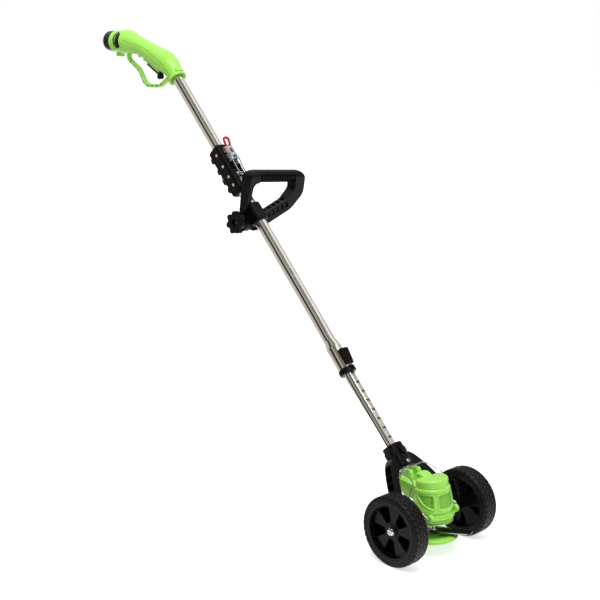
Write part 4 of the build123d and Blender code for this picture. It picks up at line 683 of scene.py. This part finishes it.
def panel_skin(turn, flip, front):
    """The ribbed floor of one panel, with its map in units of FLOOR_MAP."""
    vertices, uvs, faces = [], [], []
    half = FRONT_FLOOR_HALF if front else FLANK_FLOOR_HALF
    for column in range(FLOOR_COLUMNS + 1):
        u = half * (column * 2 / FLOOR_COLUMNS - 1)
        low = PANEL_LOW + FLOOR_EDGE if front else flank_low(u)
        for step in range(FLOOR_STEPS + 1):
            h = low + (PANEL_HIGH - FLOOR_EDGE - low) * step / FLOOR_STEPS
            vertices.append(on_barrel(turn, flip * u, h, FLOOR_LIFT - PANEL_DEEP))
            uvs.append((u / FLOOR_MAP, h / FLOOR_MAP))
    for column in range(FLOOR_COLUMNS):
        for step in range(FLOOR_STEPS):
            a = column * (FLOOR_STEPS + 1) + step
            b = a + FLOOR_STEPS + 1
            faces.append((a, a + 1, b + 1, b) if flip > 0 else (a, b, b + 1, a + 1))
    mesh = bpy.data.meshes.new("panel_skin")
    mesh.from_pydata([tuple(v) for v in vertices], [], faces)
    layer = mesh.uv_layers.new(name="panel")
    for loop in mesh.loops:
        layer.data[loop.index].uv = uvs[loop.vertex_index]
    mesh.transform(HEAD)
    return mesh


def make_panels():
    """The barrel's three panels: rims, ribbed floors coloured with painted shade and, in each side one, a column
    of flat black discs that paint the shade of vent holes.
    """
    for name, turn, flip, front in (("front", 0.0, 1, True), ("right", FLANK_TURN, 1, False),
                                    ("left", -FLANK_TURN, -1, False)):
        rim = mesh_of("rim", *panel_rim(turn, flip, front), HEAD)
        add_piece("panel_rim_" + name, rim, "head_body", "lime_plastic", 40)
        floor = panel_skin(turn, flip, front)
        add_piece("panel_floor_" + name, floor, "head_body", "lime_plastic", 40, "shade_painted_ribbed_lime")
    spots = []
    for side in (1, -1):
        for step in range(VENT_COUNT):
            h = VENT_LOW + VENT_PITCH * step
            place = on_barrel(side * FLANK_TURN, -side * VENT_PLACE, h, VENT_LIFT - PANEL_DEEP)
            spots.append((place, (-math.pi / 2, 0, -math.atan2(place.x, place.y))))
    holes = spotted("vent_hole", *turned(VENT_SHADE_DISC, 16), spots, HEAD, "black_plastic")
    add_piece("panel_vent_holes", holes, "head_body", "black_plastic", 60)


def make_flange_rings():
    """The three thin mouldings round the skirt below the case."""
    rings = []
    for r, h in FLANGE_RINGS:
        outline = [(r + out, h + up) for out, up in RING_SECTION]
        rings.append(mesh_of("ring", *turned(outline, ROUND_STEPS), HEAD))
    mesh = joined_mesh("flange_rings", rings)
    add_piece("flange_rings", mesh, "head_body", "lime_plastic", 40)


def make_blade_edges():
    """The ground strips along the blade's two long sides."""
    turn = Matrix.Rotation(math.radians(BLADE_TURN), 4, "Z")
    edges = []
    for side in (-1, 1):
        rows = [[turn @ Vector((x, side * y, z)) for y, z in GROUND_SECTION]
                for x in GROUND_STATIONS]
        edges.append(mesh_of("edge", *lofted(rows), HEAD))
    mesh = joined_mesh("blade_edges", edges)
    add_piece("blade_ground_edges", mesh, "spindle_body", "blade_steel", 20, "ground_edge")


def make_wire_coil():
    """The little coil that springs the wire guard, at its left ear."""
    points = []
    for step in range(3 * COIL_TURN_STEPS + 1):
        turns = step / COIL_TURN_STEPS
        angle = 2 * math.pi * turns
        points.append(COIL_START + Vector((-COIL_PITCH * turns, COIL_R * math.cos(angle),
                                           COIL_R * math.sin(angle))))
    mesh = mesh_of("coil", *lofted(wire_rows(points + COIL_TAIL, COIL_WIRE_R, THIN_WIRE_SIDES)), HEAD)
    add_piece("wire_guard_coil", mesh, "head_body", "zinc_steel", 40, "bright_screw")


# ------------------------------------------------------------------ grip
GUARD_FACE = 5.5
OUTSIDE = 70.0
NEAR_SIDE = 20.0
BADGE_STATIONS = 25
BADGE_ROWS = 6
BADGE_LIFT = 0.55
BADGE_SUNK = -0.9
BADGE_EDGE = 0.35
POCKET_DISH = [(0, -2.30), (2.2, -2.30), (2.5, 0.10), (3.0, 0.08), (3.0, -0.03), (2.55, -0.05),
               (2.32, -2.42), (0, -2.42)]
POCKET_LONG = 0.86
POCKET_WIDE = 0.55
POCKETS = [(-99.2, 1248.8, -74), (-94.4, 1232.0, -74), (-90.3, 1215.1, -84), (-92.0, 1197.8, -101),
           (-93.9, 1180.5, -84), (-87.9, 1164.3, -55), (-75.8, 1151.8, -44), (-63.1, 1139.8, -43),
           (-48.1, 1131.3, -16)]
CREASE_STATIONS = 60
CREASE_R = 0.34
CREASE_LIFT = -0.08
CREASE = [(-66, 1284), (-51, 1258), (-39, 1240), (-28, 1222), (-19, 1203), (-12, 1184),
          (-5, 1167), (0, 1150), (1, 1137), (1, 1125), (1, 1110)]
BADGE_OUTER = [(-80, 1330), (-93, 1322), (-102, 1310), (-107, 1296)]
BADGE_INNER = [(-65, 1305), (-73, 1298), (-80, 1290), (-86, 1280)]


def surface_of(node):
    """A node's faces, ready for finding where a line meets them."""
    mesh = frame["nodes"][node].data
    return BVHTree.FromPolygons([v.co for v in mesh.vertices], [p.vertices for p in mesh.polygons])


def draped(surface, side, n, s, lift=0.0):
    """Where a line along x meets the moulding, seen from one side, in local millimetres."""
    start = POLE @ Vector((side * OUTSIDE, n, s))
    point, normal = surface.ray_cast(start, -side * ACROSS)[:2]
    if point is None:
        point, normal = surface.find_nearest(POLE @ Vector((side * NEAR_SIDE, n, s)))[:2]
    if normal.dot(side * ACROSS) < 0:
        normal = -normal
    return POLE.inverted() @ (point + lift * MM * normal)


def smooth_line(points, count):
    """A smooth line of pairs through the given ones."""
    line = []
    for step in range(count):
        place = (len(points) - 1) * step / (count - 1)
        i = min(int(place), len(points) - 2)
        t = place - i
        near = (max(0, min(len(points) - 1, i + k)) for k in (-1, 0, 1, 2))
        a, b, c, d = (Vector(points[k]) for k in near)
        line.append(0.5 * (2 * b + (c - a) * t + (2 * a - 5 * b + 4 * c - d) * t ** 2
                           + (3 * b - a - 3 * c + d) * t ** 3))
    return line


def make_grip_creases():
    """The fine line that runs along each side of the moulding: a slightly sunk tube whose darker lime is painted
    shade of the crease.
    """
    for side, name in ((1, "right"), (-1, "left")):
        surface = surface_of("grip_shell_" + name)
        line = smooth_line(CREASE, CREASE_STATIONS)
        points = [draped(surface, side, n, s, CREASE_LIFT) for n, s in line]
        mesh = mesh_of("crease", *lofted(wire_rows(points, CREASE_R, THIN_WIRE_SIDES)), POLE)
        add_piece("grip_crease_" + name, mesh, "grip_body", "lime_plastic", 60, "shade_painted_lime")


def make_badge():
    """The blank black crescent beside the battery, lying on the moulding."""
    surface = surface_of("grip_shell_right")
    outer = smooth_line(BADGE_OUTER, BADGE_STATIONS)
    inner = smooth_line(BADGE_INNER, BADGE_STATIONS)
    rows = []
    for i in range(BADGE_STATIONS):
        ends = 0.5 - 0.5 * min(1.0, min(i, BADGE_STATIONS - 1 - i) / 3.0)
        stations = [ends * 0.5 + (1 - ends) * k / BADGE_ROWS for k in range(BADGE_ROWS + 1)]
        line = [draped(surface, 1, *(outer[i] * (1 - w) + inner[i] * w)) for w in stations]
        row = []
        for k, point in enumerate(line):
            edge = k in (0, BADGE_ROWS)
            row.append(point + Vector((BADGE_LIFT - (BADGE_EDGE if edge else 0), 0, 0)))
        row += [point + Vector((BADGE_SUNK, 0, 0)) for point in reversed(line)]
        rows.append(row)
    mesh = mesh_of("badge", *lofted(rows), POLE)
    badge = add_piece("grip_badge_blank", mesh, "grip_body", "black_plastic", 50)
    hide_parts("grip_badge")


def turn_to(out, along):
    """The angles that turn a unit's z to out and its x to along."""
    across = out.cross(along)
    return tuple(Matrix((along, across, out)).transposed().to_euler())


def make_guard_pockets():
    """The deep oval pockets along both faces of the finger guard; the darker lime of their floors is painted
    shade.
    """
    vertices, faces = turned(POCKET_DISH, 24)
    oval = [(POCKET_LONG * x, POCKET_WIDE * y, z) for x, y, z in vertices]
    spots = []
    for side in (1, -1):
        for n, s, angle in POCKETS:
            along = Vector((0, math.cos(math.radians(angle)), math.sin(math.radians(angle))))
            spots.append(((side * GUARD_FACE, n, s), turn_to(side * ACROSS, along)))
    mesh = spotted("pocket", oval, faces, spots, POLE, "lime_plastic", "shade_painted_lime")
    add_piece("guard_pocket_floors", mesh, "grip_body", "lime_plastic", 40, "shade_painted_lime")


# ------------------------------------------------------------------ lower tube
INNER_TUBE_R = 11.0
FLAT_N = 10.35
LADDER_LOW = 138.0
LADDER_HIGH = 318.0
LADDER_HALF = 5.7
LADDER_PROUD = 0.02
PLATE_THICK = 0.3
PLATE_BEVEL = 0.2
FIRST_NOTCH = 166.0
NOTCH_PITCH = 21.0
CELL_COUNT = 8
CELL_HALF = 8.4
CELL_HALF_WIDE = 4.4
CELL_PROUD = 0.035


def laid_plate(half, low, high, proud):
    """A thin plate over the tube's flat and a little of the round beside it: vertices and faces."""
    edge = math.sqrt(INNER_TUBE_R ** 2 - FLAT_N ** 2)
    stations = {half * k / 12 for k in range(-12, 13)}
    if half > edge:
        stations |= {-edge, edge}
    rows = []
    for x in sorted(stations):
        top = min(FLAT_N, math.sqrt(INNER_TUBE_R ** 2 - x * x)) + proud
        rows.append([(x, top - PLATE_THICK, low), (x, top, low + PLATE_BEVEL),
                     (x, top, high - PLATE_BEVEL), (x, top - PLATE_THICK, high)])
    return lofted(rows)


def make_ladder():
    """The ladder pressed into the lower tube's front: pale satin cells on a near-black strip whose darkness is
    painted shade of the notches and the cells' borders.
    """
    plate = laid_plate(LADDER_HALF, LADDER_LOW, LADDER_HIGH, LADDER_PROUD)
    strip = mesh_of("strip", *plate, POLE)
    add_piece("lower_tube_ladder", strip, "lower_body", "chromed_tube", 30, "shade_painted_steel")
    upright = (0, 0, 0)
    spots = [((0, 0, FIRST_NOTCH + NOTCH_PITCH * (k - 0.5)), upright) for k in range(CELL_COUNT)]
    cell = laid_plate(CELL_HALF_WIDE, -CELL_HALF, CELL_HALF, CELL_PROUD)
    cells = spotted("cell", *cell, spots, POLE, "chromed_tube", "satin_steel")
    add_piece("lower_tube_cells", cells, "lower_body", "chromed_tube", 30, "satin_steel")


# ------------------------------------------------------------------ coil springs
SPRING_TURN_STEPS = 24


def make_spring(name, foot, tip, radius, wire, turns, body, node):
    """A coil spring between two points of the pole."""
    length = (tip - foot).length
    twist = (tip - foot).to_track_quat("Z", "Y").to_matrix().to_4x4()
    steps = int(turns * SPRING_TURN_STEPS)
    points = []
    for k in range(steps + 1):
        turn = 2 * math.pi * turns * k / steps
        points.append(Vector((radius * math.cos(turn), radius * math.sin(turn),
                              wire + (length - 2 * wire) * k / steps)))
    place = POLE @ Matrix.Translation(foot) @ twist
    mesh = mesh_of(name, *lofted(wire_rows(points, wire, THIN_WIRE_SIDES)), place)
    spring = add_piece(name, mesh, body, "zinc_steel", 60)
    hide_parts(node)
    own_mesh(spring)


def make_springs():
    """The springs behind the telescope lock and the trigger."""
    make_spring("lock_coil", foot=Vector((0, 13.4, 351.2)), tip=Vector((0, 13.4, 364.8)),
                radius=1.25, wire=0.35, turns=8.5, body="middle_body", node="lock_spring")
    make_spring("trigger_coil", foot=Vector((0, -23.6, 1159.0)), tip=Vector((0, -16.2, 1159.0)),
                radius=2.2, wire=0.4, turns=3.2, body="grip_body", node="trigger_spring")


# ------------------------------------------------------------------ draw latch
DIP_R = 2.9
DIP_THINS = 1.2
BAIL_WIRE_R = 1.35
LOOP_CORNERS = [(4.4, 28.0, 868.0, 0), (4.6, 28.4, 879.0, 3), (6.4, 31.6, 886.0, 4),
                (6.8, 35.4, 900.0, 6.6)]
BAIL_CORNERS = [(5.6, 29.5, 864.0, 0), (9.9, 29.5, 864.0, 1.8), (9.9, 30.8, 846.0, 6),
                (8.6, 28.4, 826.0, 5), (8.4, 28.0, 806.0, 3.5)]


def both_sides(half):
    """The corners of a wire bent alike on both sides, from its left foot to its right one."""
    return [(-x, n, s, reach) for x, n, s, reach in half] + half[::-1]


def make_latch_grip():
    """The dipped wire loop of the latch lever: fat, soft-edged and a little pinched at its feet."""
    rows = wire_rows(softened(both_sides(LOOP_CORNERS)), dip_radius)
    mesh = mesh_of("latch_loop", *lofted(rows), POLE)
    loop = add_piece("latch_grip_dipped", mesh, "lever_body", "red_plastic", 50)
    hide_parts("latch_grip")


def dip_radius(t):
    """The dip thins towards the loop's feet."""
    return DIP_R - DIP_THINS * abs(2 * t - 1) ** 2.5


def make_latch_bail():
    """The bail's wire, bent in towards the catch and hooked below its horn."""
    rows = wire_rows(softened(both_sides(BAIL_CORNERS)), BAIL_WIRE_R)
    mesh = mesh_of("bail", *lofted(rows), POLE)
    bail = add_piece("latch_bail_bent", mesh, "bail_body", "zinc_steel", 50)
    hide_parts("latch_bail")


# ------------------------------------------------------------------ star nuts
TEETH = 7
TOOTH_SHARE = 0.80
TOOTH_ROOT_SHARE = 0.75
TOOTH_CROWN = 0.35
TOOTH_THICK = 0.9
TOOTH_STATIONS = [(1.7, 34.2), (3.2, 34.5), (4.8, 34.3), (6.2, 33.6), (7.3, 32.4), (7.7, 31.4)]
NUT_COLLAR = [(6.9, 29.4), (7.8, 29.4), (7.8, 31.8), (7.4, 32.2), (6.9, 31.6)]
NUT_HUB = [(0.0, 33.0), (2.0, 33.0), (2.0, 33.7), (1.5, 34.1), (0.0, 34.1)]


def star_petal():
    """One spring tooth of the domed star nut, its outer end up to the rim."""
    vertices, faces = [], []
    for r, z in TOOTH_STATIONS:
        half = TOOTH_SHARE * math.pi / TEETH * (1.0 if r > 3.0 else TOOTH_ROOT_SHARE)
        for angle in (-half, -half / 2, half / 2, half):
            crown = z + TOOTH_CROWN * (1 - (angle / half) ** 2)
            for drop in (0.0, TOOTH_THICK):
                vertices.append((r * math.cos(angle), r * math.sin(angle), crown - drop))
    row = 8     # four points on top and four below
    last = (len(TOOTH_STATIONS) - 1) * row
    for i in range(len(TOOTH_STATIONS) - 1):
        a, b = i * row, (i + 1) * row
        for j in range(0, 6, 2):
            faces.append((a + j, b + j, b + j + 2, a + j + 2))
            faces.append((a + j + 1, a + j + 3, b + j + 3, b + j + 1))
        faces += [(a, a + 1, b + 1, b), (a + 6, b + 6, b + 7, a + 7)]
    for end in (0, last):
        for j in range(0, 6, 2):
            faces.append((end + j, end + j + 2, end + j + 3, end + j + 1))
    return vertices, faces


def make_star_nuts():
    """The shiny push-on nut at each axle's outer end: seven teeth round a thin collar."""
    pieces = []
    for side in (1, -1):
        place = wheel_frame(side)
        pieces.append(ring_of("petal", *star_petal(), TEETH, place, "zinc_steel"))
        pieces.append(mesh_of("collar", *turned(NUT_COLLAR, 48), place))
        pieces.append(mesh_of("hub", *turned(NUT_HUB, 32), place))
    mesh = joined_mesh("axle_star_nuts", pieces)
    nuts = add_piece("axle_star_nuts", mesh, "lower_body", "zinc_steel", 40)
    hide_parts("axle_nuts")


# ------------------------------------------------------------------ studio
CAMERA_FROM_AXLE = Vector((1.48241, 1.19696, 0.80278))
TARGET_FROM_AXLE = Vector((0, -0.35731, 0.35983))
LENS = 64.08
FLOOR_GLOW_NEAR = 0.62
FLOOR_GLOW_FROM = 0.9
FLOOR_GLOW_TO = 3.0
FLOOR_HALF = 14.0
FLOOR_GREY = (0.92, 0.92, 0.92, 1)
SKY_LIGHT = 0.34
KEY_FROM_TARGET = Vector((0.9, 0.9, 3.0))
KEY_SIZE = 2.0
KEY_POWER = 118
FILL_FROM_TARGET = Vector((-2.4, 1.7, 1.4))
FILL_SIZE = 2.4
FILL_POWER = 16
STRIPE_STEPS = 96
STRIPE_REACH = 550.0
STRIPE_FOOT = -350.0
STRIPE_BEND = (420.0, 640.0)
STRIPE_TOP = 1900.0
STRIPE_LEAN = 28.0
WHITE = (1.0, 1.0, 1.0)
BEIGE = (0.62, 0.55, 0.48)
BROWN = (0.19, 0.18, 0.145)
DARK = (0.02, 0.02, 0.018)
GREY = (0.55, 0.55, 0.53)
DIM_GREY = (0.40, 0.40, 0.36)
EARTH = (0.15, 0.14, 0.11)
DIM_BEIGE = (0.46, 0.41, 0.36)
SOFT_BEIGE = (0.52, 0.47, 0.41)
# degrees round the pole, colour, and whether the card covers the white room there
STRIPES = [
    (-180, WHITE, 0), (-168, WHITE, 0), (-158, DARK, 1), (-142, DARK, 1), (-132, WHITE, 0),
    (-116, WHITE, 0), (-102, BEIGE, 1), (-30, BEIGE, 1), (-16, BROWN, 1), (-4, DARK, 1),
    (14, DARK, 1), (23, GREY, 1), (32, DIM_GREY, 1), (48, BROWN, 1), (76, EARTH, 1),
    (88, BEIGE, 1), (97, WHITE, 0), (121, WHITE, 0), (130, DIM_BEIGE, 1), (150, BEIGE, 1),
    (168, SOFT_BEIGE, 1), (178, WHITE, 0), (180, WHITE, 0),
]


def place_camera():
    """The camera, low in front of the machine's right side."""
    data = bpy.data.cameras.new("studio_camera")
    data.lens = LENS
    data.sensor_width = 36.0
    camera = put_in_scene("studio_camera", data)
    camera.location = AXLE + CAMERA_FROM_AXLE
    aim = TARGET_FROM_AXLE - CAMERA_FROM_AXLE
    camera.rotation_mode = "QUATERNION"
    camera.rotation_quaternion = aim.to_track_quat("-Z", "Y")
    data.clip_start, data.clip_end = 0.05, 50.0
    bpy.context.scene.camera = camera


def shown_rays(tree):
    """One where a ray comes from the camera, a reflection or a clear material, else nought."""
    rays = add_node(tree, "ShaderNodeLightPath")
    seen = add_node(tree, "ShaderNodeMath", operation="MAXIMUM")
    clear = add_node(tree, "ShaderNodeMath", operation="MAXIMUM")
    tree.links.new(rays.outputs["Is Camera Ray"], seen.inputs[0])
    tree.links.new(rays.outputs["Is Glossy Ray"], seen.inputs[1])
    tree.links.new(seen.outputs[0], clear.inputs[0])
    tree.links.new(rays.outputs["Is Transmission Ray"], clear.inputs[1])
    return clear.outputs[0]


def studio_floor():
    """A wide pale floor that shows white and keeps the soft shadow below the wheels."""
    mesh = bpy.data.meshes.new("floor")
    corners = [(x * FLOOR_HALF, y * FLOOR_HALF, 0) for x, y in ((-1, -1), (1, -1), (1, 1), (-1, 1))]
    mesh.from_pydata(corners, [], [(0, 1, 2, 3)])
    floor = put_in_scene("floor", mesh)
    material, tree, shader = new_finish("pale_floor")
    shader.inputs["Base Color"].default_value = FLOOR_GREY
    shader.inputs["Roughness"].default_value = 1.0
    shader.inputs["Specular IOR Level"].default_value = 0.0
    away = add_node(tree, "ShaderNodeVectorMath", operation="LENGTH")
    tree.links.new(object_point(tree), away.inputs[0])
    level = spread(tree, away.outputs["Value"], FLOOR_GLOW_NEAR, 1.0,
                   low_in=FLOOR_GLOW_FROM, high_in=FLOOR_GLOW_TO)
    gate = add_node(tree, "ShaderNodeMath", operation="MULTIPLY")
    tree.links.new(level, gate.inputs[0])
    tree.links.new(shown_rays(tree), gate.inputs[1])
    glow = add_node(tree, "ShaderNodeEmission")
    tree.links.new(gate.outputs[0], glow.inputs["Strength"])
    both = add_node(tree, "ShaderNodeAddShader")
    tree.links.new(shader.outputs[0], both.inputs[0])
    tree.links.new(glow.outputs[0], both.inputs[1])
    tree.links.new(both.outputs[0], tree.nodes["Material Output"].inputs["Surface"])
    mesh.materials.append(material)


def stripe_card():
    """A card round the pole, seen only in reflections: it draws the bright tubes' stripes."""
    rows = [(STRIPE_FOOT, 0.0), (STRIPE_BEND[0], 0.0), (STRIPE_BEND[1], STRIPE_LEAN),
            (STRIPE_TOP, STRIPE_LEAN)]
    vertices, faces, across = [], [], []
    for along, lean in rows:
        for k in range(STRIPE_STEPS + 1):
            angle = 360.0 * k / STRIPE_STEPS - 180.0
            turn = math.radians(angle)
            vertices.append((STRIPE_REACH * math.cos(turn), STRIPE_REACH * math.sin(turn), along))
            across.append((angle - lean + 180.0 + STRIPE_LEAN) / 360.0)
    for row in range(len(rows) - 1):
        for k in range(STRIPE_STEPS):
            a = row * (STRIPE_STEPS + 1) + k
            b = a + STRIPE_STEPS + 1
            faces.append((a, a + 1, b + 1, b))
    mesh = mesh_of("stripe_card", vertices, faces, POLE)
    layer = mesh.uv_layers.new(name="around")
    for loop in mesh.loops:
        layer.data[loop.index].uv = (across[loop.vertex_index], 0.5)
    card = put_in_scene("stripe_card", mesh)
    mesh.materials.append(stripe_glow())
    card.visible_camera = False
    card.visible_diffuse = False
    card.visible_shadow = False
    card.visible_transmission = False


def stripe_glow():
    """The card's stripes: a colour and a cover for each place round the pole."""
    material, tree, shader = new_finish("stripe_glow")
    tree.nodes.remove(shader)
    place = add_node(tree, "ShaderNodeUVMap", uv_map="around")
    split = add_node(tree, "ShaderNodeSeparateXYZ")
    ramp = add_node(tree, "ShaderNodeValToRGB")
    stops = ramp.color_ramp.elements
    while len(stops) < len(STRIPES):
        stops.new(0.5)
    for stop, (angle, colour, cover) in zip(stops, STRIPES):
        stop.position = (angle + 180.0) / 360.0
    for stop, (angle, colour, cover) in zip(stops, STRIPES):
        stop.color = (*colour, cover)
    glow = add_node(tree, "ShaderNodeEmission")
    clear = add_node(tree, "ShaderNodeBsdfTransparent")
    both = add_node(tree, "ShaderNodeMixShader")
    tree.links.new(place.outputs[0], split.inputs[0])
    tree.links.new(split.outputs["X"], ramp.inputs[0])
    tree.links.new(ramp.outputs["Color"], glow.inputs["Color"])
    tree.links.new(ramp.outputs["Alpha"], both.inputs[0])
    tree.links.new(clear.outputs[0], both.inputs[1])
    tree.links.new(glow.outputs[0], both.inputs[2])
    tree.links.new(both.outputs[0], tree.nodes["Material Output"].inputs["Surface"])
    return material


def area_lamp(name, place, aim, size, power):
    """A square soft lamp that points at its aim."""
    data = bpy.data.lights.new(name, "AREA")
    data.shape = "SQUARE"
    data.size = size
    data.energy = power
    lamp = put_in_scene(name, data)
    lamp.location = place
    lamp.rotation_mode = "QUATERNION"
    lamp.rotation_quaternion = (Vector(aim) - Vector(place)).to_track_quat("-Z", "Y")


def studio_world():
    """A white room that lights the machine softly."""
    world = bpy.data.worlds.new("studio")
    bpy.context.scene.world = world
    world.use_nodes = True
    tree = world.node_tree
    seen = tree.nodes["Background"]
    seen.inputs["Color"].default_value = (1, 1, 1, 1)
    seen.inputs["Strength"].default_value = 1.0
    lit = add_node(tree, "ShaderNodeBackground")
    lit.inputs["Color"].default_value = (1, 1, 1, 1)
    lit.inputs["Strength"].default_value = SKY_LIGHT
    mix = add_node(tree, "ShaderNodeMixShader")
    tree.links.new(shown_rays(tree), mix.inputs["Fac"])
    tree.links.new(lit.outputs[0], mix.inputs[1])
    tree.links.new(seen.outputs[0], mix.inputs[2])
    tree.links.new(mix.outputs[0], tree.nodes["World Output"].inputs["Surface"])


def set_studio():
    """The camera, floor, room and lamps round the machine."""
    place_camera()
    studio_floor()
    studio_world()
    middle = AXLE + TARGET_FROM_AXLE
    area_lamp("key_lamp", middle + KEY_FROM_TARGET, middle, KEY_SIZE, KEY_POWER)
    area_lamp("fill_lamp", middle + FILL_FROM_TARGET, middle, FILL_SIZE, FILL_POWER)
    stripe_card()
    bpy.context.scene.view_settings.view_transform = "Standard"


# ------------------------------------------------------------------ the whole machine
finish_nodes()
for wheel_side, wheel_name in ((1, "right"), (-1, "left")):
    make_tyre(wheel_side, wheel_name)
make_star_nuts()
make_panels()
make_flange_rings()
make_blade_edges()
make_wire_coil()
make_latch_grip()
make_latch_bail()
make_grip_creases()
make_badge()
make_guard_pockets()
make_ladder()
make_springs()
set_studio()
